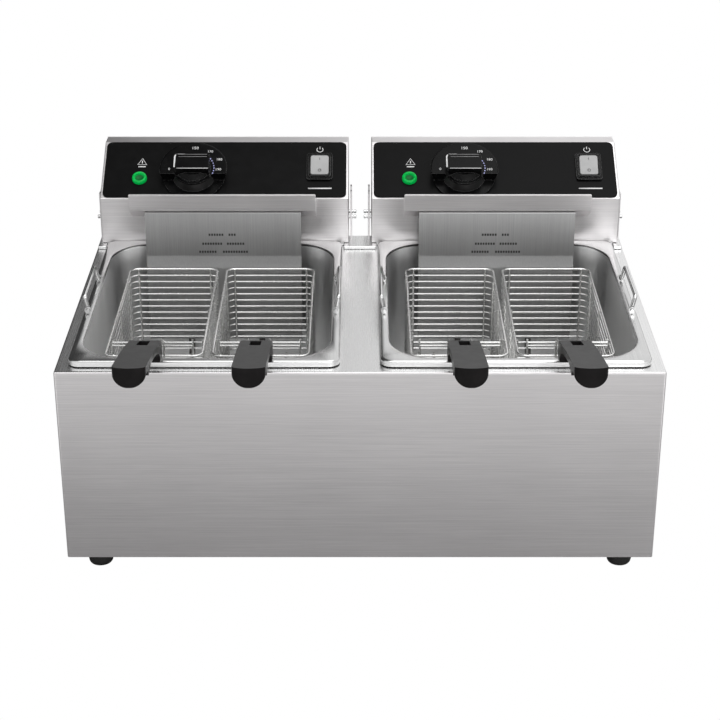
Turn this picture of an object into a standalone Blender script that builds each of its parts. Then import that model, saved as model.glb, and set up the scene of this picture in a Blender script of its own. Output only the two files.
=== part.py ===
"""Twin-tank countertop deep fryer.

Frame: metres, +Z up, +X to the right seen from the front, +Y towards the back. The origin is on the
floor under the middle of the whole object. Most places are given as (x, depth, height), where depth is
counted back from the cabinet's front face and height up from the deck that the tanks hang in.
"""
import bmesh
import bpy
from math import atan2, cos, pi, radians, sin, tan
from mathutils import Matrix, Vector

# ---------------------------------------------------------------- driving dimensions
GAP = 0.0003                    # air left where two pieces touch

FOOT_HEIGHT = 0.020
CABINET_WIDTH = 0.560
CABINET_DEPTH = 0.337
CABINET_HEIGHT = 0.196
CABINET_SHEET = 0.0012
DECK_Z = FOOT_HEIGHT + CABINET_HEIGHT

GRIP_REACH = 0.115              # how far the basket grips stand out in front
BACK_REACH = 0.4255             # depth of the cable glands' ends
FRONT_Y = GRIP_REACH - (GRIP_REACH + BACK_REACH) / 2

FOOT_X = 0.252
FOOT_INSET = 0.027
FOOT_RADIUS = 0.012

LEDGE_FRONT = 0.305
LEDGE_TOP = 0.0035

TANK_X = 0.1435
RIM_HALF = 0.125
RIM_FRONT, RIM_BACK = 0.009, 0.3147
RIM_TOP = 0.007
RIM_CORNER = 0.012
MOUTH_HALF = 0.1158
MOUTH_FRONT, MOUTH_BACK = 0.017, 0.303
MOUTH_CORNER = 0.042
TANK_DEPTH = 0.150
TANK_SHEET = 0.0009

BAIL_PIVOT_X = 0.120            # from the tank's centre
BAIL_PIVOT_Z = 0.0100
BAIL_FRONT, BAIL_BACK = 0.1225, 0.1975
BAIL_LEAN = 0.003
BAIL_TOP_Z = 0.0235
BAIL_RADIUS = 0.002
EAR_OFFSET = 0.0035             # from a bail's leg to the middle of its ear
EAR_SHEET = 0.0012
EAR_FOOT = 0.0022
EAR_RADIUS = 0.0034

HEAD_X = 0.1436
HEAD_HALF = 0.13135
HEAD_FRONT = 0.3152
HEAD_BOTTOM = LEDGE_TOP + GAP
HEAD_BACK = 0.3995
HEAD_TOP = 0.0943
PANEL_LOW = (HEAD_FRONT, 0.0538)    # depth, height of the bend below the control panel
PANEL_HIGH = (0.3817, HEAD_TOP)
HEAD_SHEET = 0.0012
COVER_SHEET = 0.0012

OVERLAY_HALF = (0.129, 0.0380)
OVERLAY_CORNER = 0.006
OVERLAY_THICK = 0.0008

LAMP = (-0.091, -0.0134)        # places on the panel: across from its centre, up its slope
KNOB = (-0.033, -0.0098)
SWITCH = (0.1005, 0.0024)
LAMP_RADIUS = 0.0079
LAMP_BODY_RADIUS = 0.006
LAMP_HEIGHT = 0.0042
KNOB_RADIUS = 0.0358
KNOB_FOOT_RADIUS = 0.0330
KNOB_LIFT = 0.0012              # bottom of the knob above the panel's overlay
SKIRT_HEIGHT = 0.0125
HUB_RADIUS = 0.0185
HUB_HEIGHT = 0.0175
BAR_HALF = (0.0176, 0.0083)
BAR_HEIGHT = 0.0245
SHAFT_RADIUS = 0.003
THERMOSTAT = (0.040, 0.038, 0.028)
BEZEL_HALF = (0.01375, 0.0180)
BEZEL_HEIGHT = 0.0025
SWITCH_BODY_HALF = (0.0118, 0.0160)
SWITCH_BODY_DEPTH = 0.016
POCKET_HALF = (0.0102, 0.0148)
POCKET_DEPTH = 0.0125
ROCKER_HALF = (0.0097, 0.0135)
ROCKER_TILT = radians(7.0)

ROD_RADIUS = 0.002
ROD_DEPTHS = (0.3475, 0.3638)
ROD_Z = 0.0215
ROD_INNER, ROD_OUTER = 0.0041, 0.2831

BRACKET_INNER, BRACKET_OUTER = 0.0096, 0.2781
BRACKET_SHEET = 0.0018
BRACKET_FRONT = CABINET_DEPTH + GAP
BRACKET_BACK = 0.3705
BRACKET_TOP = 0.051
BRACKET_BOTTOM = -0.062
BRACKET_FLANGE = 0.018

HOOK_HALF = 0.0974
HOOK_FACE = 0.2860
HOOK_LOW, HOOK_HIGH = 0.0505, 0.0682
HOOK_SLOPE = tan(radians(31.0))
HOOK_SHEET = 0.0014
HOOK_STAND_OFF = 0.0026         # the folded sheets' thickness leans back by about this much

GUARD_HALF = 0.08175
GUARD_FACE = 0.2889
GUARD_TOP = 0.0480
GUARD_STEP_Z = -0.0010
GUARD_STEP = 0.0036
GUARD_BOTTOM = -0.095
GUARD_SHEET = 0.0010
GUARD_STAND_OFF = 0.0009

ELEMENT_RADIUS = 0.00325
ELEMENT_LEG_X = 0.038
ELEMENT_LEG_DEPTH = 0.2940
ELEMENT_ENTRY_Z = 0.020
ELEMENT_Z = -0.1152
ELEMENT_FRONT, ELEMENT_BACK = 0.082, 0.262
ELEMENT_LANES = (0.088, 0.044)

BASKET_X = (-0.1954, -0.0942, 0.0942, 0.1954)
BASKET_NAMES = ("left_outer", "left_inner", "right_inner", "right_outer")
BASKET_HALF = 0.0469
BASKET_FRONT, BASKET_BACK = 0.060, 0.281
BASKET_TOP, BASKET_BOTTOM = -0.011, -0.111
BASKET_CORNER = 0.014
BASKET_WALL = 0.0018
FRAME_RADIUS = 0.0015
HANDLE_X = 0.0105
GRIP_WIDTH = 0.0290
GRIP_BACK = (0.012, 0.0270)     # depth and height of the grip's top line at its two ends
GRIP_FRONT = (-GRIP_REACH, 0.0580)

GLAND_X = -0.090                # from the head's centre
GLAND_Z = 0.024
GLAND_RADIUS = 0.011

SIDES = (("left", -1), ("right", 1))


# ---------------------------------------------------------------- frame and helpers
def at(x, depth, height):
    """A point given from the cabinet's front face and deck, in the object's frame."""
    return Vector((x, FRONT_Y + depth, DECK_Z + height))


def move(x, depth, height):
    return Matrix.Translation(at(x, depth, height))


def panel_matrix(head_x, across=0.0, up=0.0, out=0.0):
    """The frame of a spot on a control panel: X across, Y up its slope, Z out of it."""
    middle = at(head_x, (PANEL_LOW[0] + PANEL_HIGH[0]) / 2, (PANEL_LOW[1] + PANEL_HIGH[1]) / 2)
    slope = atan2(PANEL_HIGH[1] - PANEL_LOW[1], PANEL_HIGH[0] - PANEL_LOW[0])
    frame = Matrix.Translation(middle) @ Matrix.Rotation(slope, 4, "X")
    return frame @ Matrix.Translation((across, up, out))


def material(name, colour, metallic, roughness):
    made = bpy.data.materials.new(name)
    made.use_nodes = True
    surface = made.node_tree.nodes["Principled BSDF"]
    surface.inputs["Base Color"].default_value = (*colour, 1.0)
    surface.inputs["Metallic"].default_value = metallic
    surface.inputs["Roughness"].default_value = roughness
    return made


def place(name, data, finish, matrix=None, home=None):
    """Link an object that holds data, with its finish, at matrix."""
    made = bpy.data.objects.new(name, data)
    if finish is not None:
        data.materials.append(finish)
    if matrix is not None:
        made.matrix_world = matrix
    (home or parts).objects.link(made)
    return made


def from_bmesh(name, shape, finish, matrix=None, home=None, smooth=None):
    data = bpy.data.meshes.new(name)
    shape.to_mesh(data)
    shape.free()
    if smooth is not None:
        data.shade_smooth()
        data.set_sharp_from_angle(angle=radians(smooth))
    return place(name, data, finish, matrix, home)


def as_cutter(made):
    """Put an object among the cutters, out of the render."""
    for home in list(made.users_collection):
        home.objects.unlink(made)
    cutters.objects.link(made)
    made.hide_render = True
    made.display_type = "WIRE"
    return made


def boolean(made, other, operation="DIFFERENCE"):
    step = made.modifiers.new(operation.lower() + "_" + other.name, "BOOLEAN")
    step.operation = operation
    step.object = as_cutter(other)


def solidify(made, thickness, offset=-1.0):
    step = made.modifiers.new("sheet", "SOLIDIFY")
    step.thickness = thickness
    step.offset = offset
    step.use_even_offset = True


def bevel(made, width, segments=2, limit=40.0):
    step = made.modifiers.new("edges", "BEVEL")
    step.width = width
    step.segments = segments
    step.limit_method = "ANGLE"
    step.angle_limit = radians(limit)


def box(name, low, high, finish, matrix=None):
    """A box between two corners."""
    shape = bmesh.new()
    size = Vector(high) - Vector(low)
    middle = (Vector(high) + Vector(low)) / 2
    bmesh.ops.create_cube(shape, size=1.0, matrix=Matrix.Translation(middle) @ Matrix.Diagonal((*size, 1.0)))
    return from_bmesh(name, shape, finish, matrix)


def cylinder(name, radius, low, high, finish, matrix=None, steps=14):
    """A cylinder along Z from low to high."""
    shape = bmesh.new()
    bmesh.ops.create_cone(
        shape, cap_ends=True, segments=steps, radius1=radius, radius2=radius, depth=high - low,
        matrix=Matrix.Translation((0, 0, (high + low) / 2)),
    )
    return from_bmesh(name, shape, finish, matrix, smooth=40)


def turned(name, profile, finish, matrix, steps=32):
    """A turned piece: profile is (radius, height) from the top of the outer side to the bottom."""
    shape = bmesh.new()
    points = [shape.verts.new((radius, 0, height)) for radius, height in profile]
    for above, below in zip(points, points[1:]):
        shape.edges.new((above, below))
    made = from_bmesh(name, shape, finish, matrix)
    screw = made.modifiers.new("turning", "SCREW")
    screw.steps = steps
    screw.render_steps = steps
    screw.use_merge_vertices = True
    screw.merge_threshold = 0.00001
    return made


def arc(centre, radius, start, end, count):
    """Points on an arc, angles in degrees."""
    turn = [radians(start + (end - start) * step / (count - 1)) for step in range(count)]
    return [(centre[0] + radius * cos(angle), centre[1] + radius * sin(angle)) for angle in turn]


def rounded(x_low, y_low, x_high, y_high, radius, count=5):
    """A rectangle's outline with rounded corners, counter-clockwise."""
    corners = (
        ((x_high - radius, y_low + radius), -90),
        ((x_high - radius, y_high - radius), 0),
        ((x_low + radius, y_high - radius), 90),
        ((x_low + radius, y_low + radius), 180),
    )
    return [point for centre, turn in corners for point in arc(centre, radius, turn, turn + 90, count)]


def plate(name, outline, low, high, finish, matrix=None):
    """A flat outline in X and Y, given thickness from low to high along Z, as a mesh."""
    curve = bpy.data.curves.new(name, "CURVE")
    curve.dimensions = "2D"
    curve.fill_mode = "BOTH"
    curve.extrude = (high - low) / 2
    line = curve.splines.new("POLY")
    line.points.add(len(outline) - 1)
    for point, (x, y) in zip(line.points, outline):
        point.co = (x, y, 0, 1)
    line.use_cyclic_u = True
    flat = place(name + "_outline", curve, None, Matrix.Translation((0, 0, (high + low) / 2)))
    return mesh_of(flat, name, finish, matrix)


def mesh_of(made, name, finish, matrix=None):
    """Replace a curve object with the mesh it makes, its caps welded."""
    bpy.context.view_layer.update()
    shape = bmesh.new()
    seen = made.evaluated_get(bpy.context.evaluated_depsgraph_get())
    data = bpy.data.meshes.new_from_object(seen)
    shape.from_mesh(data)
    shape.transform(made.matrix_world)
    bmesh.ops.remove_doubles(shape, verts=shape.verts, dist=0.000001)
    bmesh.ops.recalc_face_normals(shape, faces=shape.faces)
    bpy.data.objects.remove(made)
    return from_bmesh(name, shape, finish, matrix, smooth=35)


def bent(points, radius, count=4):
    """A path through points with its corners rounded to a bend radius."""
    path = [Vector(points[0])]
    for before, corner, after in zip(points, points[1:], points[2:]):
        corner = Vector(corner)
        back = (Vector(before) - corner).normalized()
        ahead = (Vector(after) - corner).normalized()
        half = back.angle(ahead) / 2
        centre = corner + (back + ahead).normalized() * radius / sin(half)
        start = corner + back * radius / tan(half) - centre
        end = corner + ahead * radius / tan(half) - centre
        for step in range(count):
            share = step / (count - 1)
            path.append(centre + start.normalized().slerp(end.normalized(), share) * start.length)
    return path + [Vector(points[-1])]


def wire(name, path, radius, finish, closed=False):
    """A round wire or tube along a path of points in the object's frame, as a mesh."""
    curve = bpy.data.curves.new(name, "CURVE")
    curve.dimensions = "3D"
    curve.bevel_depth = radius
    curve.bevel_resolution = 1
    curve.use_fill_caps = not closed
    line = curve.splines.new("POLY")
    line.points.add(len(path) - 1)
    for point, place_ in zip(line.points, path):
        point.co = (*place_, 1)
    line.use_cyclic_u = closed
    return mesh_of(place(name + "_line", curve, None), name, finish)


def loft(name, rings, finish, close_first=False, upwards=True, smooth=40):
    """Skin a row of rings that have equally many points, and close the last one."""
    shape = bmesh.new()
    rows = [[shape.verts.new(point) for point in ring] for ring in rings]
    for row, below in zip(rows, rows[1:]):
        for step in range(len(row)):
            after = (step + 1) % len(row)
            shape.faces.new((row[step], row[after], below[after], below[step]))
    last = shape.faces.new(rows[-1])
    if close_first:
        shape.faces.new(reversed(rows[0]))
        bmesh.ops.recalc_face_normals(shape, faces=shape.faces)
    else:
        bmesh.ops.recalc_face_normals(shape, faces=shape.faces)
        last.normal_update()
        if (last.normal.z > 0) != upwards:
            bmesh.ops.reverse_faces(shape, faces=shape.faces)
    return from_bmesh(name, shape, finish, smooth=smooth)


def folded(name, profile, half_width, centre_x, finish, closed_ends=False):
    """A sheet folded along a profile of (depth, height) points, centred on a plane across X."""
    shape = bmesh.new()
    near, far = [
        [shape.verts.new(at(centre_x + side * half_width, *point)) for point in profile] for side in (-1, 1)
    ]
    for step in range(len(profile) - 1):
        shape.faces.new((near[step], far[step], far[step + 1], near[step + 1]))
    if closed_ends:
        shape.faces.new(near)
        shape.faces.new(reversed(far))
    bmesh.ops.recalc_face_normals(shape, faces=shape.faces)
    return from_bmesh(name, shape, finish)


# ---------------------------------------------------------------- cabinet
def tank_mouth_cutter(x):
    """The hole in the deck that a tank's drawn walls hang through."""
    clear = 0.0022
    outline = rounded(
        x - MOUTH_HALF - clear, FRONT_Y + MOUTH_FRONT - clear,
        x + MOUTH_HALF + clear, FRONT_Y + MOUTH_BACK + clear, MOUTH_CORNER, 8,
    )
    return plate("deck_hole", outline, DECK_Z - 0.01, DECK_Z + 0.01, None)


def make_cabinet():
    """One wrap of sheet: the front, both sides and the deck, open below and behind."""
    half = CABINET_WIDTH / 2
    shape = bmesh.new()
    low = [shape.verts.new(at(x, depth, -CABINET_HEIGHT)) for x, depth in
           ((-half, CABINET_DEPTH), (-half, 0), (half, 0), (half, CABINET_DEPTH))]
    high = [shape.verts.new(at(x, depth, 0)) for x, depth in
            ((-half, CABINET_DEPTH), (-half, 0), (half, 0), (half, CABINET_DEPTH))]
    for step in range(3):
        shape.faces.new((low[step], low[step + 1], high[step + 1], high[step]))
    shape.faces.new(high)
    shell = from_bmesh("cabinet_shell", shape, steel)
    bevel(shell, 0.0018)
    solidify(shell, CABINET_SHEET)
    for _, side in SIDES:
        boolean(shell, tank_mouth_cutter(side * TANK_X))


def make_ledge():
    """A raised strip along the back of the deck that steps round the tanks' rims."""
    outer = CABINET_WIDTH / 2 - 0.0015
    notch_low = TANK_X - RIM_HALF - 0.0015
    notch_high = TANK_X + RIM_HALF + 0.0015
    behind = RIM_BACK + 0.0015
    outline = [(-outer, LEDGE_FRONT), (-notch_high, LEDGE_FRONT), (-notch_high, behind), (-notch_low, behind),
               (-notch_low, LEDGE_FRONT), (notch_low, LEDGE_FRONT), (notch_low, behind), (notch_high, behind),
               (notch_high, LEDGE_FRONT), (outer, LEDGE_FRONT), (outer, CABINET_DEPTH), (-outer, CABINET_DEPTH)]
    plate("rear_ledge", outline, GAP, LEDGE_TOP, steel, move(0, 0, 0))


def make_closing_panels():
    """The base plate, which carries the feet, and the flat back panel, both inside the wrap."""
    inside = CABINET_WIDTH / 2 - CABINET_SHEET - GAP
    base_top = -CABINET_HEIGHT + 0.0019
    box("base_plate", at(-inside, CABINET_SHEET + GAP, -CABINET_HEIGHT + 0.0004),
        at(inside, CABINET_DEPTH - 0.0025, base_top), steel)
    box("back_panel", at(-inside, CABINET_DEPTH - 0.0018, base_top + GAP),
        at(inside, CABINET_DEPTH - 0.0006, -CABINET_SHEET - GAP), steel)


def make_feet():
    """Four moulded rubber feet with a soft lower edge."""
    top = FOOT_HEIGHT + 0.0001
    profile = ((0, top), (FOOT_RADIUS, top), (FOOT_RADIUS, 0.0050), (0.0107, 0.0014), (0.0085, 0), (0, 0))
    for name, x, depth in (
        ("foot_front_left", -FOOT_X, FOOT_INSET), ("foot_front_right", FOOT_X, FOOT_INSET),
        ("foot_rear_left", -FOOT_X, CABINET_DEPTH - FOOT_INSET),
        ("foot_rear_right", FOOT_X, CABINET_DEPTH - FOOT_INSET),
    ):
        turned(name, profile, rubber, Matrix.Translation((x, FRONT_Y + depth, 0)), 20)


def make_bracket(name, x, flange_side):
    """An upright with two open slots that hold a head's rods, and a flange on the back panel."""
    slot = ROD_RADIUS + 0.0004
    outline = [(BRACKET_FRONT, BRACKET_BOTTOM), (BRACKET_BACK, BRACKET_BOTTOM + 0.022)]
    outline += arc((BRACKET_BACK - 0.003, BRACKET_TOP - 0.003), 0.003, 0, 90, 4)
    for depth in reversed(ROD_DEPTHS):
        outline += [(depth + slot, BRACKET_TOP)]
        outline += arc((depth, ROD_Z - 0.0001), slot, 0, -180, 9)
        outline += [(depth - slot, BRACKET_TOP)]
    outline += [(BRACKET_FRONT, BRACKET_TOP)]
    upright = Matrix(((0, 0, 1, x), (1, 0, 0, FRONT_Y), (0, 1, 0, DECK_Z), (0, 0, 0, 1)))
    made = plate(name, outline, -BRACKET_SHEET / 2, BRACKET_SHEET / 2, steel, upright)
    inner = x - flange_side * BRACKET_SHEET / 4
    outer = x + flange_side * (BRACKET_SHEET / 2 + BRACKET_FLANGE)
    flange = box(
        name + "_flange", at(min(inner, outer), BRACKET_FRONT, BRACKET_BOTTOM + 0.001),
        at(max(inner, outer), BRACKET_FRONT + BRACKET_SHEET, -0.002), None,
    )
    boolean(made, flange, "UNION")


# ---------------------------------------------------------------- tanks
def tank_ring(x, half, front, back, corner, height):
    outline = rounded(x - half, front, x + half, back, corner, 5)
    return [at(along, depth, height) for along, depth in outline]


def make_tank(side_name, side):
    """A deep-drawn pan with a flat rim and a rolled, downturned lip, and four bail ears."""
    x = side * TANK_X
    rim = [(0.0, 0.0012), (0.0, 0.0050), (0.0020, RIM_TOP)]
    mouth = [(-0.0017, RIM_TOP, 0.0017), (0.0, 0.0050, 0.0)]
    wall = [(0.0043, -0.130, 0.002), (0.0090, -0.146, 0.008), (0.0200, -TANK_DEPTH, 0.018)]
    rings = [tank_ring(x, RIM_HALF - inset, RIM_FRONT + inset, RIM_BACK - inset, RIM_CORNER - inset / 2, height)
             for inset, height in rim]
    rings += [tank_ring(x, MOUTH_HALF - inset, MOUTH_FRONT + inset, MOUTH_BACK - inset, MOUTH_CORNER + more, height)
              for inset, height, more in mouth]
    rings += [tank_ring(x, MOUTH_HALF - inset, MOUTH_FRONT + inset, MOUTH_BACK - inset, MOUTH_CORNER - less, height)
              for inset, height, less in wall]
    tank = loft("tank_" + side_name, rings, steel)
    solidify(tank, TANK_SHEET)
    for bail_side in (-1, 1):
        for depth in (BAIL_FRONT - EAR_OFFSET, BAIL_BACK + EAR_OFFSET):
            boolean(tank, bail_ear(x + bail_side * BAIL_PIVOT_X, depth), "UNION")


def bail_ear(x, depth):
    """A small upright ear on the rim with a hole for one end of a bail."""
    outline = [(EAR_FOOT, RIM_TOP - 0.0004)] + arc((0, BAIL_PIVOT_Z), EAR_RADIUS, -30, 210, 9)
    outline += [(-EAR_FOOT, RIM_TOP - 0.0004)]
    upright = Matrix(((1, 0, 0, x), (0, 0, 1, FRONT_Y + depth), (0, 1, 0, DECK_Z), (0, 0, 0, 1)))
    ear = plate("bail_ear", outline, -EAR_SHEET / 2, EAR_SHEET / 2, steel, upright)
    along = Matrix.Translation(at(x, depth, BAIL_PIVOT_Z)) @ Matrix.Rotation(pi / 2, 4, "X")
    boolean(ear, cylinder("ear_hole", BAIL_RADIUS + 0.0005, -0.004, 0.004, None, along))
    return ear


def make_bail(name, x, outward):
    """A wire lifting handle, its two ends turned out along its pivot through the ears."""
    reach = EAR_OFFSET + 0.0025
    top_x = x + outward * BAIL_LEAN
    points = [at(x, BAIL_FRONT - reach, BAIL_PIVOT_Z), at(x, BAIL_FRONT, BAIL_PIVOT_Z),
              at(top_x, BAIL_FRONT, BAIL_TOP_Z), at(top_x, BAIL_BACK, BAIL_TOP_Z),
              at(x, BAIL_BACK, BAIL_PIVOT_Z), at(x, BAIL_BACK + reach, BAIL_PIVOT_Z)]
    made = wire(name, bent(points, 0.0022), BAIL_RADIUS, wire_steel)
    set_origin(made, at(x, (BAIL_FRONT + BAIL_BACK) / 2, BAIL_PIVOT_Z))


def set_origin(made, point):
    """Move a mesh object's origin to a point without moving its shape."""
    made.data.transform(Matrix.Translation(made.matrix_world.translation - point))
    made.location = point


# ---------------------------------------------------------------- heads
def make_housing(side_name, x):
    """A folded box with a slanted control face, open at the back."""
    profile = [(HEAD_BACK, HEAD_BOTTOM), (HEAD_FRONT, HEAD_BOTTOM), PANEL_LOW, PANEL_HIGH, (HEAD_BACK, HEAD_TOP)]
    housing = folded("head_housing_" + side_name, profile, HEAD_HALF, x, steel, closed_ends=True)
    bevel(housing, 0.0010)
    solidify(housing, HEAD_SHEET)
    for place_on_panel, radius in ((LAMP, LAMP_BODY_RADIUS), (KNOB, SHAFT_RADIUS)):
        boolean(housing, panel_drill("housing_drill", x, place_on_panel, radius + 0.0005))
    boolean(housing, switch_window("housing_window", x))
    for depth in ROD_DEPTHS:
        along = Matrix.Translation(at(x, depth, ROD_Z)) @ Matrix.Rotation(pi / 2, 4, "Y")
        boolean(housing, cylinder("rod_drill", ROD_RADIUS + 0.0005, -0.16, 0.16, None, along))
    for leg in (-1, 1):
        along = Matrix.Translation(at(x + leg * ELEMENT_LEG_X, HEAD_FRONT, ELEMENT_ENTRY_Z))
        along = along @ Matrix.Rotation(pi / 2, 4, "X")
        boolean(housing, cylinder("leg_drill", ELEMENT_RADIUS + 0.0006, -0.008, 0.008, None, along))


def panel_drill(name, x, place_on_panel, radius):
    return cylinder(name, radius, -0.01, 0.01, None, panel_matrix(x, *place_on_panel))


def switch_window(name, x):
    clear = 0.0005
    half_x, half_y = SWITCH_BODY_HALF[0] + clear, SWITCH_BODY_HALF[1] + clear
    return box(name, (-half_x, -half_y, -0.008), (half_x, half_y, 0.008), None, panel_matrix(x, *SWITCH))


def make_back_cover(side_name, x):
    """A flat plate that closes a head from behind, with a hole for the cable gland."""
    cover = box(
        "head_back_cover_" + side_name, at(x - HEAD_HALF, HEAD_BACK + GAP, HEAD_BOTTOM),
        at(x + HEAD_HALF, HEAD_BACK + GAP + COVER_SHEET, HEAD_TOP), steel,
    )
    along = Matrix.Translation(at(x + GLAND_X, HEAD_BACK, GLAND_Z)) @ Matrix.Rotation(pi / 2, 4, "X")
    boolean(cover, cylinder("gland_drill", 0.0068, -0.01, 0.01, None, along))


def make_gland(side_name, x):
    """The mains cable's screwed gland: a thread through the cover, a flange and a domed nut."""
    face = HEAD_BACK + 2 * GAP + COVER_SHEET
    length = BACK_REACH - face
    profile = ((0, length), (0.0052, length), (0.0078, length - 0.004), (GLAND_RADIUS * 0.86, length - 0.011),
               (GLAND_RADIUS * 0.86, 0.0055), (GLAND_RADIUS, 0.0045), (GLAND_RADIUS, 0), (0.0062, 0),
               (0.0062, -0.008), (0, -0.008))
    backwards = Matrix.Translation(at(x + GLAND_X, face, GLAND_Z)) @ Matrix.Rotation(-pi / 2, 4, "X")
    turned("cable_gland_" + side_name, profile, black_plastic, backwards, 16)


def make_control_panel(side_name, x):
    """The printed black overlay on a head's slanted face."""
    half_x, half_y = OVERLAY_HALF
    outline = rounded(-half_x, -half_y, half_x, half_y, OVERLAY_CORNER)
    panel = plate("control_panel_" + side_name, outline, GAP, GAP + OVERLAY_THICK, panel_black, panel_matrix(x))
    for place_on_panel, radius in ((LAMP, LAMP_BODY_RADIUS), (KNOB, SHAFT_RADIUS)):
        boolean(panel, panel_drill("panel_drill", x, place_on_panel, radius + 0.0005))
    boolean(panel, switch_window("panel_window", x))


def make_lamp(side_name, x):
    """A ring-shaped green lens with a hollow middle, and its body through the panel."""
    face = 2 * GAP + OVERLAY_THICK
    profile = ((0, face + LAMP_HEIGHT - 0.0018), (0.0048, face + LAMP_HEIGHT - 0.0002),
               (0.0066, face + LAMP_HEIGHT), (LAMP_RADIUS, face + 0.0022), (LAMP_RADIUS, face),
               (LAMP_BODY_RADIUS, face), (LAMP_BODY_RADIUS, -0.018), (0, -0.018))
    turned("indicator_lamp_" + side_name, profile, green_lens, panel_matrix(x, *LAMP), 20)


def make_knob(side_name, x):
    """A dial skirt with a hub and a grip bar across it, and a blind bore for the shaft."""
    low = GAP + OVERLAY_THICK + KNOB_LIFT
    profile = ((0, HUB_HEIGHT), (0.0141, HUB_HEIGHT), (HUB_RADIUS, HUB_HEIGHT - 0.0035), (HUB_RADIUS, SKIRT_HEIGHT),
               (KNOB_RADIUS - 0.0008, SKIRT_HEIGHT), (KNOB_RADIUS, SKIRT_HEIGHT - 0.0008),
               (KNOB_FOOT_RADIUS, 0.0), (0, 0.0))
    knob = turned("knob_" + side_name, profile, black_plastic, panel_matrix(x, *KNOB, low), 36)
    half_x, half_y = BAR_HALF
    outline = rounded(-half_x, -half_y, half_x, half_y, 0.0028, 4)
    bar = plate("knob_bar", outline, SKIRT_HEIGHT - 0.002, BAR_HEIGHT, None, panel_matrix(x, *KNOB, low))
    boolean(knob, bar, "UNION")
    boolean(knob, cylinder("knob_bore", SHAFT_RADIUS + GAP, -0.005, 0.0145, None, panel_matrix(x, *KNOB, low)))


def make_thermostat(side_name, x):
    """The rod thermostat behind the panel, and the shaft that the knob turns."""
    wide, tall, deep = THERMOSTAT
    top = -HEAD_SHEET - GAP
    spot = panel_matrix(x, *KNOB)
    body = box("thermostat_" + side_name, (-wide / 2, -tall / 2, top - deep), (wide / 2, tall / 2, top),
               brown_plastic, spot)
    boolean(body, cylinder("shaft_drill", SHAFT_RADIUS + 0.0005, top - 0.012, 0.01, None, spot))
    cylinder("thermostat_shaft_" + side_name, SHAFT_RADIUS - 0.0001, top - 0.011, 0.0155, wire_steel, spot)


def make_switch(side_name, x):
    """A rocker switch: a frame with its body through the panel, and the rocker in its pocket."""
    face = 2 * GAP + OVERLAY_THICK
    spot = panel_matrix(x, *SWITCH)
    half_x, half_y = BEZEL_HALF
    bezel = plate("switch_bezel_" + side_name, rounded(-half_x, -half_y, half_x, half_y, 0.003),
                  face, face + BEZEL_HEIGHT, black_plastic, spot)
    half_x, half_y = SWITCH_BODY_HALF
    body = box("switch_body", (-half_x, -half_y, -SWITCH_BODY_DEPTH), (half_x, half_y, face + 0.001), None, spot)
    boolean(bezel, body, "UNION")
    half_x, half_y = POCKET_HALF
    pocket_low = face + BEZEL_HEIGHT - POCKET_DEPTH
    boolean(bezel, box("switch_pocket", (-half_x, -half_y, pocket_low), (half_x, half_y, 0.02), None, spot))
    half_x, half_y = ROCKER_HALF
    outline = [(-half_y, 0.0054), (0, 0.0036), (half_y, 0.0054), (half_y, -0.002)]
    outline += arc((0, 0.0), 0.0060, -30, -150, 7) + [(-half_y, -0.002)]
    pivot = spot @ Matrix.Translation((0, 0, face)) @ Matrix.Rotation(ROCKER_TILT, 4, "X")
    across = Matrix(((0, 0, 1, 0), (1, 0, 0, 0), (0, 1, 0, 0), (0, 0, 0, 1)))
    plate("switch_rocker_" + side_name, outline, -half_x, half_x, grey_plastic, pivot @ across)


def make_hook_bar(side_name, x):
    """The drain bar that lifted baskets hook over: an upright lip with a shelf folded back and down."""
    back = HEAD_FRONT - HOOK_STAND_OFF
    behind = HOOK_LOW - (back - HOOK_FACE) * HOOK_SLOPE
    profile = [(HOOK_FACE, HOOK_HIGH), (HOOK_FACE, HOOK_LOW), (back, behind)]
    bar = folded("hook_bar_" + side_name, profile, HOOK_HALF, x, steel)
    shape = bmesh.new()
    shape.from_mesh(bar.data)
    for end in (-1, 1):
        inside = [vert for vert in shape.verts if abs(vert.co.x - (x + end * HOOK_HALF)) < 0.0001]
        shape.faces.new(sorted(inside, key=lambda vert: (vert.co.y, -vert.co.z)))
    bmesh.ops.recalc_face_normals(shape, faces=shape.faces)
    lip = max(shape.faces, key=lambda face: abs(face.normal.y))
    if lip.normal.y > 0:
        bmesh.ops.reverse_faces(shape, faces=shape.faces)
    shape.to_mesh(bar.data)
    shape.free()
    solidify(bar, HOOK_SHEET)


def make_guard(side_name, x):
    """The plate in front of the element's legs, hung from a flange under the hook bar's shelf."""
    back = HEAD_FRONT - GUARD_STAND_OFF
    behind = GUARD_TOP - (back - GUARD_FACE) * HOOK_SLOPE
    low_face = GUARD_FACE - GUARD_STEP
    profile = [(back, behind), (GUARD_FACE, GUARD_TOP), (GUARD_FACE, GUARD_STEP_Z),
               (low_face, GUARD_STEP_Z - GUARD_STEP), (low_face, GUARD_BOTTOM)]
    guard = folded("element_guard_" + side_name, profile, GUARD_HALF, x, steel)
    shape = bmesh.new()
    shape.from_mesh(guard.data)
    front = max(shape.faces, key=lambda face: abs(face.normal.y))
    if front.normal.y > 0:
        bmesh.ops.reverse_faces(shape, faces=shape.faces)
    shape.to_mesh(guard.data)
    shape.free()
    solidify(guard, GUARD_SHEET)


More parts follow.
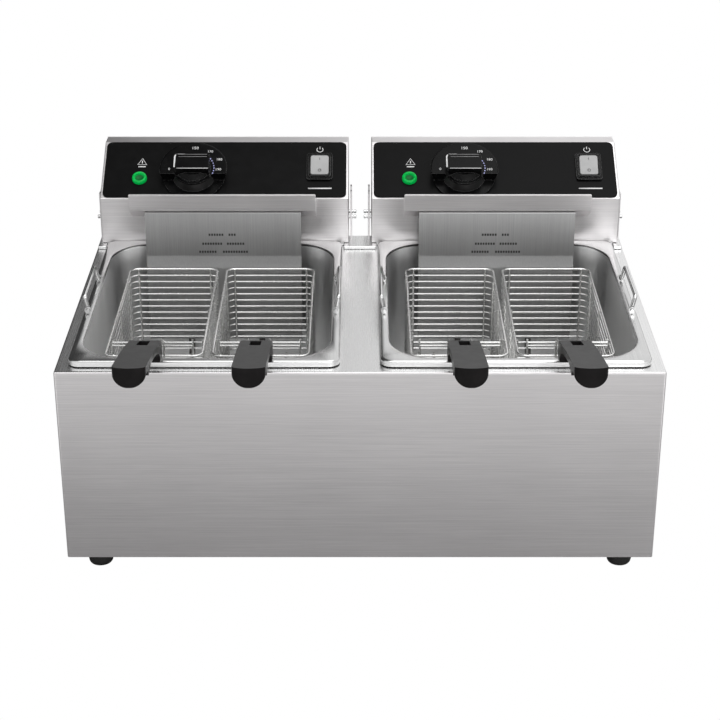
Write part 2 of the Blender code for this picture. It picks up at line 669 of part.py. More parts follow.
def make_element(side_name, x):
    """One sheathed heating tube: two legs down behind the guard and a flat loop under the baskets."""
    outer, inner = ELEMENT_LANES
    route = [(ELEMENT_LEG_X, HEAD_FRONT + 0.012, ELEMENT_ENTRY_Z),
             (ELEMENT_LEG_X, ELEMENT_LEG_DEPTH, ELEMENT_ENTRY_Z),
             (ELEMENT_LEG_X, ELEMENT_LEG_DEPTH, ELEMENT_Z),
             (ELEMENT_LEG_X, ELEMENT_BACK, ELEMENT_Z),
             (outer, ELEMENT_BACK, ELEMENT_Z),
             (outer, ELEMENT_FRONT, ELEMENT_Z),
             (inner, ELEMENT_FRONT, ELEMENT_Z),
             (inner, ELEMENT_BACK - 0.03, ELEMENT_Z)]
    half = [at(x + across, depth, height) for across, depth, height in route]
    other = [at(x - across, depth, height) for across, depth, height in reversed(route)]
    wire("heating_element_" + side_name, bent(half + other, 0.011), ELEMENT_RADIUS, dark_steel)


def make_rods(side_name, side):
    """Two rods right through a head, whose ends sit in the brackets' slots."""
    middle, half = (ROD_INNER + ROD_OUTER) / 2, (ROD_OUTER - ROD_INNER) / 2
    for name, depth in zip(("front", "rear"), ROD_DEPTHS):
        along = Matrix.Translation(at(side * middle, depth, ROD_Z)) @ Matrix.Rotation(pi / 2, 4, "Y")
        cylinder(f"hanger_rod_{name}_{side_name}", ROD_RADIUS, -half, half, wire_steel, along)


# ---------------------------------------------------------------- baskets
def make_basket_mesh(name, x):
    """The basket's tray of fine mesh, kept here as a thin wall of the same outline."""
    rings = []
    for inset, height, corner in ((0, BASKET_TOP - 2 * FRAME_RADIUS - GAP, BASKET_CORNER),
                                  (0, BASKET_BOTTOM + 0.006, BASKET_CORNER),
                                  (0.0018, BASKET_BOTTOM + 0.0018, BASKET_CORNER - 0.0018),
                                  (0.006, BASKET_BOTTOM, BASKET_CORNER - 0.006)):
        outline = rounded(x - BASKET_HALF + inset, BASKET_FRONT + inset,
                          x + BASKET_HALF - inset, BASKET_BACK - inset, corner, 4)
        rings.append([at(along, depth, height) for along, depth in outline])
    tray = loft("basket_mesh_" + name, rings, wire_steel, upwards=False)
    solidify(tray, BASKET_WALL)


def make_basket_frame(name, x):
    """The thick rim wire, with the two handle wires that rise from its front."""
    inset = FRAME_RADIUS
    outline = rounded(x - BASKET_HALF + inset, BASKET_FRONT + inset, x + BASKET_HALF - inset, BASKET_BACK - inset,
                      BASKET_CORNER - inset, 4)
    height = BASKET_TOP - FRAME_RADIUS
    rim = wire("basket_frame_" + name, [at(along, depth, height) for along, depth in outline],
               FRAME_RADIUS, wire_steel, closed=True)
    front = BASKET_FRONT + FRAME_RADIUS
    rise = (GRIP_FRONT[1] - GRIP_BACK[1]) / (GRIP_BACK[0] - GRIP_FRONT[0])
    entry = GRIP_BACK[1] - 0.0085
    for step in (-1, 1):
        across = x + step * HANDLE_X
        points = [at(across, front, height), at(across, front, 0.006),
                  at(across, GRIP_BACK[0] + 0.030, entry - 0.030 * rise),
                  at(across, GRIP_BACK[0] - 0.018, entry + 0.018 * rise)]
        boolean(rim, wire("handle_wire", bent(points, 0.008), FRAME_RADIUS, None), "UNION")


def grip_section(x, depth, height, drop, round_share):
    """A grip's cross-section: a flat top with its underside drawn down by drop."""
    half = GRIP_WIDTH / 2
    edge = 0.0012
    points = [at(x + half - edge, depth, height), at(x - half + edge, depth, height)]
    under = []
    for step in range(9):
        angle = pi * step / 8
        across = -half * cos(angle)
        bulge = sin(angle) * round_share + (1 - abs(cos(angle)) ** 8) * (1 - round_share)
        under.append(at(x + across, depth, height - edge - (drop - edge) * bulge))
    return points + under


def make_grip(name, x):
    """A moulded grip: a thin arched bar with a deep round nose and a leg down to the tank's rim."""
    sections = ((0.0, 0.0160, 1.0), (0.16, 0.0150, 0.9), (0.24, 0.0110, 0.6), (0.34, 0.0072, 0.3),
                (0.46, 0.0058, 0.2), (0.62, 0.0058, 0.2), (0.78, 0.0080, 0.2), (0.90, 0.0125, 0.2),
                (1.0, 0.0172, 0.2))
    rings = []
    for share, drop, round_share in sections:
        depth = GRIP_FRONT[0] + share * (GRIP_BACK[0] - GRIP_FRONT[0])
        height = GRIP_FRONT[1] + share * (GRIP_BACK[1] - GRIP_FRONT[1]) + 0.0035 * sin(pi * share)
        rings.append(grip_section(x, depth, height, drop, round_share))
    grip = loft("basket_grip_" + name, rings, black_plastic, close_first=True)
    rise = atan2(GRIP_FRONT[1] - GRIP_BACK[1], GRIP_BACK[0] - GRIP_FRONT[0])
    for step in (-1, 1):
        mouth = Matrix.Translation(at(x + step * HANDLE_X, GRIP_BACK[0], GRIP_BACK[1] - 0.0085))
        along = mouth @ Matrix.Rotation(pi / 2 - rise, 4, "X")
        boolean(grip, cylinder("grip_bore", FRAME_RADIUS + 0.0004, -0.004, 0.0195, None, along, 10))
    slot_depth = GRIP_BACK[0] - 0.0165
    boolean(grip, box("grip_slot", at(x - 0.005, slot_depth - 0.004, 0.0185), at(x + 0.005, slot_depth + 0.004, 0.05),
                      None))


# ---------------------------------------------------------------- build
for old in list(bpy.data.objects):
    bpy.data.objects.remove(old)

parts = bpy.data.collections.new("deep_fryer")
cutters = bpy.data.collections.new("cutters")
bpy.context.scene.collection.children.link(parts)
bpy.context.scene.collection.children.link(cutters)

steel = material("brushed_steel", (0.62, 0.62, 0.62), 1.0, 0.34)
wire_steel = material("wire_steel", (0.70, 0.70, 0.70), 1.0, 0.25)
dark_steel = material("element_steel", (0.20, 0.20, 0.21), 1.0, 0.45)
rubber = material("foot_rubber", (0.02, 0.02, 0.02), 0.0, 0.75)
black_plastic = material("black_plastic", (0.022, 0.022, 0.023), 0.0, 0.42)
brown_plastic = material("thermostat_moulding", (0.10, 0.06, 0.04), 0.0, 0.55)
grey_plastic = material("rocker_plastic", (0.55, 0.56, 0.57), 0.0, 0.40)
panel_black = material("panel_overlay", (0.012, 0.012, 0.013), 0.0, 0.30)
green_lens = material("green_lens", (0.02, 0.62, 0.16), 0.0, 0.20)

make_cabinet()
make_ledge()
make_closing_panels()
make_feet()
for side_name, side in SIDES:
    make_bracket("bracket_outer_" + side_name, side * BRACKET_OUTER, -side)
    make_bracket("bracket_inner_" + side_name, side * BRACKET_INNER, side)
    make_tank(side_name, side)
    for bail_name, outward in (("outer", side), ("inner", -side)):
        make_bail(f"tank_bail_{bail_name}_{side_name}", side * TANK_X + outward * BAIL_PIVOT_X, outward)
    head_x = side * HEAD_X
    make_housing(side_name, head_x)
    make_back_cover(side_name, head_x)
    make_gland(side_name, head_x)
    make_control_panel(side_name, head_x)
    make_lamp(side_name, head_x)
    make_knob(side_name, head_x)
    make_thermostat(side_name, head_x)
    make_switch(side_name, head_x)
    make_hook_bar(side_name, head_x)
    make_guard(side_name, head_x)
    make_element(side_name, head_x)
    make_rods(side_name, side)
for basket_name, basket_x in zip(BASKET_NAMES, BASKET_X):
    make_basket_mesh(basket_name, basket_x)
    make_basket_frame(basket_name, basket_x)
    make_grip(basket_name, basket_x)
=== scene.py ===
"""Looks for a twin-tank countertop deep fryer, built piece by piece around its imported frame."""
from math import atan2, cos, pi, radians, sin

import bpy
from mathutils import Matrix, Vector


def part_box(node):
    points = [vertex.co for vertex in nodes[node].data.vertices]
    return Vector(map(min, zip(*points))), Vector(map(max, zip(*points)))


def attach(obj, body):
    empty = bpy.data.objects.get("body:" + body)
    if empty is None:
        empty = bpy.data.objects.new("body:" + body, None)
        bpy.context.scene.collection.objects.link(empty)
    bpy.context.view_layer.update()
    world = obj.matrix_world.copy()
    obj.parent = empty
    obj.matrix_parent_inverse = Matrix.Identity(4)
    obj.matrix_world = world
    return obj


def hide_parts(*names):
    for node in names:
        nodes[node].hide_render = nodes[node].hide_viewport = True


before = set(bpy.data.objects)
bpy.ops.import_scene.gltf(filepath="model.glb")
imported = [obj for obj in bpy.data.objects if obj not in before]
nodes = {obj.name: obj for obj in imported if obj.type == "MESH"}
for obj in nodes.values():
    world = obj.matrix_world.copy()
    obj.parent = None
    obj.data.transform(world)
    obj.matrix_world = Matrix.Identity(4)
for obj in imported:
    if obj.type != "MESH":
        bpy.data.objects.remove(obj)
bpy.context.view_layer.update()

SIDES = (("left", -1), ("right", 1))

# ---------------------------------------------------------------- room
# A pale floor and an even white surround, like the tent that bare steel is shown in. The surround is duller on
# the left and behind, which is what makes the steel show its shape. Seen in the steel, the floor's colour is
# painted shade: dark next to the cabinet and behind it, paler further in front.
front_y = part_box("cabinet_shell")[0].y
deck_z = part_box("cabinet_shell")[1].z
floor_grey = 0.60


def rest():
    """Object mode with nothing selected."""
    if bpy.context.object and bpy.context.object.mode != "OBJECT":
        bpy.ops.object.mode_set(mode="OBJECT")
    bpy.ops.object.select_all(action="DESELECT")


def at(x, depth, height):
    """A point given back from the cabinet's face and up from its deck."""
    return Vector((x, front_y + depth, deck_z + height))


def placed(name, data):
    """A new object in the scene for a mesh, curve, light or camera."""
    made = bpy.data.objects.new(name, data)
    bpy.context.scene.collection.objects.link(made)
    return made


rest()
bpy.ops.mesh.primitive_plane_add(size=14, location=(0, 0, -0.0005))
floor = bpy.context.object
floor.name = "floor"
floor_paint = bpy.data.materials.new("pale_floor")
floor_paint.use_nodes = True
tree = floor_paint.node_tree
painted = tree.nodes["Principled BSDF"]
painted.inputs["Base Color"].default_value = (floor_grey, floor_grey, floor_grey, 1)
painted.inputs["Roughness"].default_value = 0.9
painted.inputs["Specular IOR Level"].default_value = 0.0
# Painted shade: seen in the steel, the floor's colour darkens towards the cabinet and behind it; to the camera
# it stays white.
spread = tree.nodes.new("ShaderNodeTexCoord")
ground = tree.nodes.new("ShaderNodeSeparateXYZ")
floor_painted_shade = tree.nodes.new("ShaderNodeMapRange")
floor_painted_shade.inputs["From Min"].default_value = -0.30
floor_painted_shade.inputs["From Max"].default_value = -0.85
floor_painted_shade.inputs["To Min"].default_value = 0.34
floor_painted_shade.inputs["To Max"].default_value = 0.88
tree.links.new(spread.outputs["Object"], ground.inputs[0])
tree.links.new(ground.outputs["Y"], floor_painted_shade.inputs["Value"])
tree.links.new(floor_painted_shade.outputs["Result"], painted.inputs["Base Color"])
lit = tree.nodes.new("ShaderNodeEmission")
lit.inputs["Color"].default_value = (1, 1, 1, 1)
sight = tree.nodes.new("ShaderNodeLightPath")
blend = tree.nodes.new("ShaderNodeMixShader")
tree.links.new(sight.outputs["Is Camera Ray"], blend.inputs[0])
tree.links.new(painted.outputs[0], blend.inputs[1])
tree.links.new(lit.outputs[0], blend.inputs[2])
tree.links.new(blend.outputs[0], tree.nodes["Material Output"].inputs["Surface"])
floor.data.materials.append(floor_paint)

world = bpy.data.worlds.new("tent")
bpy.context.scene.world = world
world.use_nodes = True
sky = world.node_tree
backdrop = sky.nodes["Background"]
backdrop.inputs["Strength"].default_value = 1.0
way = sky.nodes.new("ShaderNodeTexCoord")
split = sky.nodes.new("ShaderNodeSeparateXYZ")
across = sky.nodes.new("ShaderNodeMapRange")
across.inputs["From Min"].default_value = -0.14
across.inputs["From Max"].default_value = 0.02
across.inputs["To Min"].default_value = 0.05
across.inputs["To Max"].default_value = 0.96
ahead = sky.nodes.new("ShaderNodeMapRange")
ahead.inputs["From Min"].default_value = 0.10
ahead.inputs["From Max"].default_value = -0.15
half_way = sky.nodes.new("ShaderNodeMix")
half_way.inputs["B"].default_value = 0.95
seen = sky.nodes.new("ShaderNodeLightPath")
white = sky.nodes.new("ShaderNodeMix")
white.data_type = "RGBA"
white.inputs["B"].default_value = (1, 1, 1, 1)
sky.links.new(way.outputs["Generated"], split.inputs[0])
sky.links.new(split.outputs["X"], across.inputs["Value"])
sky.links.new(split.outputs["Y"], ahead.inputs["Value"])
sky.links.new(ahead.outputs["Result"], half_way.inputs["Factor"])
sky.links.new(across.outputs["Result"], half_way.inputs["A"])
sky.links.new(half_way.outputs["Result"], white.inputs["A"])
sky.links.new(seen.outputs["Is Camera Ray"], white.inputs["Factor"])
sky.links.new(white.outputs["Result"], backdrop.inputs["Color"])


def softbox(name, place, aim, size, power):
    """A square area light that points at aim."""
    light = bpy.data.lights.new(name, "AREA")
    light.shape = "RECTANGLE"
    light.size, light.size_y = size
    light.energy = power
    lamp = placed(name, light)
    lamp.location = place
    lamp.rotation_euler = (Vector(aim) - Vector(place)).to_track_quat("-Z", "Y").to_euler()


softbox("top_box", (0.2, -0.3, 2.2), (0, 0, 0.2), (1.8, 1.4), 14)
softbox("front_box", (0.8, -2.2, 1.2), (0, 0, 0.15), (1.6, 1.0), 9)

lens = bpy.data.cameras.new("camera")
lens.lens = 90.27
lens.sensor_width = 36
camera = placed("camera", lens)
camera.location = at(0, -1.4865, 0.7055)
camera.rotation_euler = (radians(65), 0, 0)
bpy.context.scene.camera = camera
bpy.context.scene.view_settings.view_transform = "Standard"

# ---------------------------------------------------------------- brushed stainless sheet
# Cold-rolled stainless with a ground finish: long fine scratches in one direction and faint slow
# clouds of tone. Every folded sheet is made of it.


def shader_group(name, inputs, outputs):
    """An empty shader node group with its sockets, and its two end nodes."""
    group = bpy.data.node_groups.new(name, "ShaderNodeTree")
    for socket, kind in inputs:
        group.interface.new_socket(socket, in_out="INPUT", socket_type=kind)
    for socket, kind in outputs:
        group.interface.new_socket(socket, in_out="OUTPUT", socket_type=kind)
    return group, group.nodes.new("NodeGroupInput"), group.nodes.new("NodeGroupOutput")


def noise_in(tree, scale, detail, vector):
    made = tree.nodes.new("ShaderNodeTexNoise")
    made.inputs["Scale"].default_value = scale
    made.inputs["Detail"].default_value = detail
    made.inputs["Roughness"].default_value = 0.6
    tree.links.new(vector, made.inputs["Vector"])
    return made.outputs["Fac"]


def ranged(tree, value, low, high, new_low, new_high):
    made = tree.nodes.new("ShaderNodeMapRange")
    for socket, number in (("From Min", low), ("From Max", high), ("To Min", new_low), ("To Max", new_high)):
        made.inputs[socket].default_value = number
    tree.links.new(value, made.inputs["Value"])
    return made.outputs["Result"]


def mixed(tree, factor, first, second):
    """A colour between two, by a mask."""
    made = tree.nodes.new("ShaderNodeMix")
    made.data_type = "RGBA"
    made.inputs["A"].default_value = (*first, 1)
    made.inputs["B"].default_value = (*second, 1)
    tree.links.new(factor, made.inputs["Factor"])
    return made.outputs["Result"]


def raise_by(tree, surface, height, strength, distance):
    """Bump a surface by a height."""
    made = tree.nodes.new("ShaderNodeBump")
    made.inputs["Strength"].default_value = strength
    made.inputs["Distance"].default_value = distance
    tree.links.new(height, made.inputs["Height"])
    tree.links.new(made.outputs["Normal"], surface.inputs["Normal"])


brushing, entry, leave = shader_group(
    "brushed_grain", [("Stretch", "NodeSocketVector")],
    [("Tone", "NodeSocketFloat"), ("Height", "NodeSocketFloat"), ("Cloud", "NodeSocketFloat")],
)
place_on = brushing.nodes.new("ShaderNodeTexCoord")
drawn_out = brushing.nodes.new("ShaderNodeVectorMath")
drawn_out.operation = "MULTIPLY"
brushing.links.new(place_on.outputs["Object"], drawn_out.inputs[0])
brushing.links.new(entry.outputs["Stretch"], drawn_out.inputs[1])
coarse = noise_in(brushing, 1.0, 3, drawn_out.outputs[0])
fine = noise_in(brushing, 3.1, 2, drawn_out.outputs[0])
cloud = noise_in(brushing, 7.0, 2, place_on.outputs["Object"])
both = brushing.nodes.new("ShaderNodeMath")
both.operation = "ADD"
brushing.links.new(coarse, both.inputs[0])
brushing.links.new(fine, both.inputs[1])
brushing.links.new(ranged(brushing, both.outputs[0], 0.7, 1.3, 0, 1), leave.inputs["Tone"])
brushing.links.new(fine, leave.inputs["Height"])
brushing.links.new(ranged(brushing, cloud, 0.3, 0.7, 0, 1), leave.inputs["Cloud"])


def principled(name, **sockets):
    """A material with plain socket values; underscores stand for spaces."""
    made = bpy.data.materials.new(name)
    made.use_nodes = True
    surface = made.node_tree.nodes["Principled BSDF"]
    for socket, value in sockets.items():
        surface.inputs[socket.replace("_", " ")].default_value = value
    return made, made.node_tree, surface


def grain_in(tree, group, socket, value):
    """A shared group's node in a material, with its one socket set."""
    made = tree.nodes.new("ShaderNodeGroup")
    made.node_tree = group
    made.inputs[socket].default_value = value
    return made.outputs


def brushed(name, dark, light, rough, stretch, bump=0.05):
    """Stainless sheet with its grain drawn out along the axis that stretch is small on."""
    made, tree, surface = principled(name, Metallic=1.0)
    grain = grain_in(tree, brushing, "Stretch", stretch)
    clouded = tree.nodes.new("ShaderNodeMath")
    clouded.operation = "MULTIPLY_ADD"
    clouded.inputs[1].default_value = 0.25
    tree.links.new(grain["Cloud"], clouded.inputs[0])
    tree.links.new(ranged(tree, grain["Tone"], 0, 1, 0.0, 0.75), clouded.inputs[2])
    tree.links.new(mixed(tree, clouded.outputs[0], dark, light), surface.inputs["Base Color"])
    tree.links.new(ranged(tree, grain["Tone"], 0, 1, *rough), surface.inputs["Roughness"])
    raise_by(tree, surface, grain["Height"], bump, 0.0004)
    return made


sheet_across = brushed("sheet_across", (0.66, 0.645, 0.65), (0.82, 0.80, 0.805), (0.30, 0.38), (9, 9, 1150))
sheet_deck = brushed("sheet_deck", (0.76, 0.76, 0.76), (0.86, 0.86, 0.86), (0.24, 0.32), (1150, 9, 9), 0.02)
# Painted shade: the guard's copy of the same stainless is much darker than the cabinet's sheet; its grain runs
# upright.
shaded_upright_sheet = brushed("shaded_upright_sheet", (0.30, 0.30, 0.30), (0.38, 0.38, 0.38), (0.30, 0.38), (1150, 1150, 9))


def take(piece):
    rest()
    piece.select_set(True)
    bpy.context.view_layer.objects.active = piece


def apply_all(piece):
    take(piece)
    for step in list(piece.modifiers):
        bpy.ops.object.modifier_apply(modifier=step.name)


def settle(piece, matrix=None):
    """Put a piece at matrix and take its place into its mesh."""
    take(piece)
    bpy.context.view_layer.update()
    if matrix is not None:
        piece.matrix_world = matrix @ piece.matrix_world
    bpy.ops.object.transform_apply(location=True, rotation=True, scale=True)


def soften(piece, width, segments=2, limit=30, wear_and_highlight=-1):
    """Round edges and shade flats flat; a finish given for the rounded edges paints a highlight along them."""
    take(piece)
    bpy.ops.object.shade_smooth_by_angle(angle=radians(limit))
    edges = piece.modifiers.new("edges", "BEVEL")
    edges.width = width
    edges.segments = segments
    edges.limit_method = "ANGLE"
    edges.angle_limit = radians(limit)
    edges.harden_normals = True
    edges.material = wear_and_highlight
    apply_all(piece)
    take(piece)
    bpy.ops.object.shade_smooth_by_angle(angle=radians(60))
    even = piece.modifiers.new("even", "WEIGHTED_NORMAL")
    even.keep_sharp = True
    apply_all(piece)


def paint(piece, *finishes):
    piece.data.materials.clear()
    for each in finishes:
        piece.data.materials.append(each)


def finish(piece, name, body, slot, *finishes, stands_for=()):
    """Name a finished piece, give it its finish, and let it ride on its body; slot is not used."""
    piece.name = name
    piece.data.name = name
    if finishes:
        paint(piece, *finishes)
    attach(piece, body)
    if stands_for:
        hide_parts(*stands_for)
    return piece


def weld(piece, gap=0.00001):
    """Merge the points that lie within a gap and turn every face outward."""
    take(piece)
    bpy.ops.object.mode_set(mode="EDIT")
    bpy.ops.mesh.select_all(action="SELECT")
    bpy.ops.mesh.remove_doubles(threshold=gap)
    bpy.ops.mesh.normals_make_consistent(inside=False)
    bpy.ops.object.mode_set(mode="OBJECT")


def from_frame(node, width, segments=2, limit=30):
    """A sheet of the frame as one welded skin with its edges rounded."""
    rest()
    piece = placed(node + "_skin", nodes[node].data.copy())
    piece.data.materials.clear()
    take(piece)
    bpy.ops.mesh.customdata_custom_splitnormals_clear()
    bpy.ops.object.mode_set(mode="EDIT")
    bpy.ops.mesh.select_all(action="SELECT")
    bpy.ops.mesh.remove_doubles(threshold=0.00001)
    bpy.ops.mesh.dissolve_limited(angle_limit=radians(0.5))
    bpy.ops.object.mode_set(mode="OBJECT")
    soften(piece, width, segments, limit)
    return piece


# ---------------------------------------------------------------- cabinet
# One wrap of sheet is the front, sides and deck; its grain runs across the front and from front to
# back on the deck. A ledge strip, base plate, back panel and four brackets are fixed to it.
shell = from_frame("cabinet_shell", 0.0003, 2, 20)
finish(shell, "cabinet_wrap", "cabinet", "steel_sheet", sheet_across, sheet_deck,
       stands_for=["cabinet_shell"])
for face in shell.data.polygons:
    face.material_index = 1 if face.normal.z > 0.9 else 0
ledge = from_frame("rear_ledge", 0.0006)
finish(ledge, "ledge_strip", "cabinet", "steel_sheet", sheet_deck, stands_for=["rear_ledge"])
for node in ("base_plate", "back_panel"):
    finish(from_frame(node, 0.0002), node + "_sheet", "cabinet", "steel_sheet", sheet_across,
           stands_for=[node])
for side, sign in SIDES:
    for where in ("outer", "inner"):
        node = f"bracket_{where}_{side}"
        finish(from_frame(node, 0.0003), node + "_plate", "cabinet", "steel_sheet", sheet_across,
               stands_for=[node])

# ---------------------------------------------------------------- feet
# Four moulded rubber feet with a rounded shoulder and a slightly smaller sole, matte black with a
# fine moulded texture and dust in its pores.


def turned(name, profile, steps=48):
    """A turned solid: a circle extruded and resized through (radius, height) stations."""
    rest()
    radius, height = profile[0]
    bpy.ops.mesh.primitive_circle_add(vertices=steps, radius=radius, location=(0, 0, height))
    made = bpy.context.object
    bpy.ops.object.mode_set(mode="EDIT")
    bpy.ops.mesh.select_all(action="SELECT")
    for new_radius, new_height in profile[1:]:
        bpy.ops.mesh.extrude_edges_move(TRANSFORM_OT_translate={"value": (0, 0, new_height - height)})
        bpy.ops.transform.resize(value=(new_radius / radius,) * 2 + (1,), center_override=(0, 0, new_height))
        radius, height = new_radius, new_height
    bpy.ops.mesh.edge_face_add()
    bpy.ops.mesh.select_all(action="DESELECT")
    bpy.ops.mesh.select_non_manifold()
    bpy.ops.mesh.edge_face_add()
    bpy.ops.mesh.select_all(action="SELECT")
    bpy.ops.mesh.normals_make_consistent(inside=False)
    bpy.ops.object.mode_set(mode="OBJECT")
    made.name = name
    settle(made)
    take(made)
    bpy.ops.object.shade_smooth_by_angle(angle=radians(32))
    return made


moulding, entry, leave = shader_group(
    "moulded_grain", [("Size", "NodeSocketFloat")],
    [("Height", "NodeSocketFloat"), ("Dust", "NodeSocketFloat")])
place_on = moulding.nodes.new("ShaderNodeTexCoord")
pores = noise_in(moulding, 900, 3, place_on.outputs["Object"])
moulding.links.new(entry.outputs["Size"], moulding.nodes["Noise Texture"].inputs["Scale"])
dust = noise_in(moulding, 60, 4, place_on.outputs["Object"])
moulding.links.new(pores, leave.inputs["Height"])
moulding.links.new(ranged(moulding, dust, 0.42, 0.72, 0, 1), leave.inputs["Dust"])


def moulded(name, colour, wear_and_highlight, rough, size, bump, **sockets):
    """Moulded rubber or plastic: fine pores, and a slightly paler tone where it is handled."""
    made, tree, surface = principled(name, **sockets)
    grain = grain_in(tree, moulding, "Size", size)
    tree.links.new(mixed(tree, grain["Dust"], colour, wear_and_highlight), surface.inputs["Base Color"])
    tree.links.new(ranged(tree, grain["Dust"], 0, 1, *rough), surface.inputs["Roughness"])
    raise_by(tree, surface, grain["Height"], bump, 0.0003)
    return made


foot_rubber = moulded("foot_rubber", (0.012, 0.012, 0.012), (0.030, 0.029, 0.028), (0.55, 0.8), 1400, 0.25)
foot_profile = ((0.0015, 0.0198), (0.0105, 0.0198), (0.0117, 0.0192), (0.0120, 0.0180), (0.0120, 0.0150),
                (0.0114, 0.0146), (0.0114, 0.0136), (0.0120, 0.0132), (0.0120, 0.0050), (0.0114, 0.0022),
                (0.0104, 0.0007), (0.0085, 0.0), (0.0015, 0.0))
for place in ("front_left", "front_right", "rear_left", "rear_right"):
    low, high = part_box("foot_" + place)
    foot = turned("foot", foot_profile)
    settle(foot, Matrix.Translation(((low.x + high.x) / 2, (low.y + high.y) / 2, 0)))
    finish(foot, f"rubber_foot_{place}", "cabinet", "foot_rubber", foot_rubber, stands_for=["foot_" + place])

# ---------------------------------------------------------------- tanks
# Each tank is one deep drawing: a wide mouth with large corner radii, a flat rim and a lip rolled
# over the deck. Four small ears with holes are welded on the rim for the two lifting bails.
tank_x = 0.1435
rim_top = 0.007
rim_front, rim_back, rim_half = 0.009, 0.3147, 0.125
mouth_front, mouth_back, mouth_half = 0.017, 0.303, 0.1158
tank_steel = brushed("tank_steel", (0.84, 0.84, 0.84), (0.91, 0.91, 0.91), (0.36, 0.44), (90, 90, 9), 0.02)
rim_steel = brushed("rim_steel", (0.58, 0.58, 0.58), (0.70, 0.70, 0.70), (0.16, 0.24), (900, 9, 900), 0.02)


def rounded_loop(half_x, half_y, height, corner, segments):
    """A rounded rectangle of edges about the origin, in edit mode and selected."""
    rest()
    bpy.ops.mesh.primitive_plane_add(size=2, location=(0, 0, height))
    made = bpy.context.object
    bpy.ops.object.mode_set(mode="EDIT")
    bpy.ops.mesh.select_all(action="SELECT")
    bpy.ops.transform.resize(value=(half_x, half_y, 1), center_override=(0, 0, height))
    bpy.ops.mesh.bevel(offset=corner, segments=segments, affect="VERTICES")
    bpy.ops.mesh.select_all(action="SELECT")
    bpy.ops.mesh.delete(type="ONLY_FACE")
    bpy.ops.mesh.select_all(action="SELECT")
    return made


def draw_through(half_x, half_y, height, stations):
    """Extrude the selected loop through (half x, half y, height) stations."""
    for new_x, new_y, new_height in stations:
        bpy.ops.mesh.extrude_edges_move(TRANSFORM_OT_translate={"value": (0, 0, new_height - height)})
        bpy.ops.transform.resize(value=(new_x / half_x, new_y / half_y, 1), center_override=(0, 0, new_height))
        half_x, half_y, height = new_x, new_y, new_height


def join(*joined):
    rest()
    for each in joined:
        each.select_set(True)
    bpy.context.view_layer.objects.active = joined[0]
    bpy.ops.object.join()
    return bpy.context.object


mouth_deep = (mouth_back - mouth_front) / 2
rim_deep = (rim_back - rim_front) / 2
mouth_shift = (mouth_back + mouth_front) / 2 - (rim_back + rim_front) / 2
well = rounded_loop(mouth_half + 0.0017, mouth_deep + 0.0017, rim_top, 0.0437, 14)
walls = [(0.0010, 0.0067), (0.0004, 0.0061), (0.0001, 0.0052), (-0.0004, -0.010), (-0.0020, -0.070),
         (-0.0040, -0.128), (-0.0052, -0.136), (-0.0078, -0.1425), (-0.0120, -0.1470), (-0.0170, -0.1493),
         (-0.0220, -0.1500)]
draw_through(mouth_half + 0.0017, mouth_deep + 0.0017, rim_top,
             [(mouth_half + more, mouth_deep + more, height) for more, height in walls])
bpy.ops.mesh.edge_face_add()
bpy.ops.mesh.inset(thickness=0.006)
bpy.ops.object.mode_set(mode="OBJECT")
settle(well, Matrix.Translation((0, mouth_shift, 0)))
lip = rounded_loop(rim_half - 0.0024, rim_deep - 0.0024, rim_top, 0.0108, 14)
roll = [(-0.0014, 0.0067), (-0.0006, 0.0061), (-0.0001, 0.0052), (0.0, 0.0044), (0.0, 0.0011)]
draw_through(rim_half - 0.0024, rim_deep - 0.0024, rim_top,
             [(rim_half + more, rim_deep + more, height) for more, height in roll])
bpy.ops.object.mode_set(mode="OBJECT")
drawn_tank = join(well, lip)
take(drawn_tank)
bpy.ops.object.mode_set(mode="EDIT")
bpy.ops.mesh.select_all(action="DESELECT")
bpy.ops.mesh.select_mode(type="EDGE")
bpy.ops.object.mode_set(mode="OBJECT")
for edge in drawn_tank.data.edges:
    ends = [drawn_tank.data.vertices[index].co.z for index in edge.vertices]
    edge.select = all(abs(z - rim_top) < 0.00001 for z in ends)
bpy.ops.object.mode_set(mode="EDIT")
bpy.ops.mesh.fill(use_beauty=True)
bpy.ops.mesh.select_all(action="SELECT")
bpy.ops.mesh.normals_make_consistent(inside=False)
bpy.ops.object.mode_set(mode="OBJECT")
floor_face = max(drawn_tank.data.polygons, key=lambda face: face.area)
if floor_face.normal.z < 0:
    take(drawn_tank)
    bpy.ops.object.mode_set(mode="EDIT")
    bpy.ops.mesh.select_all(action="SELECT")
    bpy.ops.mesh.flip_normals()
    bpy.ops.object.mode_set(mode="OBJECT")
wall = drawn_tank.modifiers.new("sheet", "SOLIDIFY")
wall.thickness = 0.0009
wall.offset = -1
apply_all(drawn_tank)
take(drawn_tank)
bpy.ops.object.shade_smooth_by_angle(angle=radians(40))


def as_mesh(piece):
    take(piece)
    bpy.ops.object.convert(target="MESH")
    return bpy.context.object


def tube(points, radius, closed=False, sides=3):
    """A round wire along points, as a mesh."""
    line = bpy.data.curves.new("wire", "CURVE")
    line.dimensions = "3D"
    line.bevel_depth = radius
    line.bevel_resolution = sides
    line.use_fill_caps = not closed
    path = line.splines.new("POLY")
    path.points.add(len(points) - 1)
    for spot, point in zip(path.points, points):
        spot.co = (*point, 1)
    path.use_cyclic_u = closed
    made = as_mesh(placed("wire", line))
    weld(made)
    bpy.ops.object.shade_smooth_by_angle(angle=radians(50))
    return made


def bent(points, radius, count=7):
    """Points with each corner rounded to a bend radius."""
    path = [Vector(points[0])]
    for before, corner, after in zip(points, points[1:], points[2:]):
        corner = Vector(corner)
        back = (Vector(before) - corner).normalized()
        ahead = (Vector(after) - corner).normalized()
        half = back.angle(ahead) / 2
        centre = corner + (back + ahead).normalized() * radius / sin(half)
        reach = radius * cos(half) / sin(half)
        first = corner + back * reach - centre
        last = corner + ahead * reach - centre
        turn = pi - 2 * half
        for step in range(count):
            share = step / (count - 1)
            mix = (first * sin((1 - share) * turn) + last * sin(share * turn)) / sin(turn)
            path.append(centre + mix)
    return path + [Vector(points[-1])]


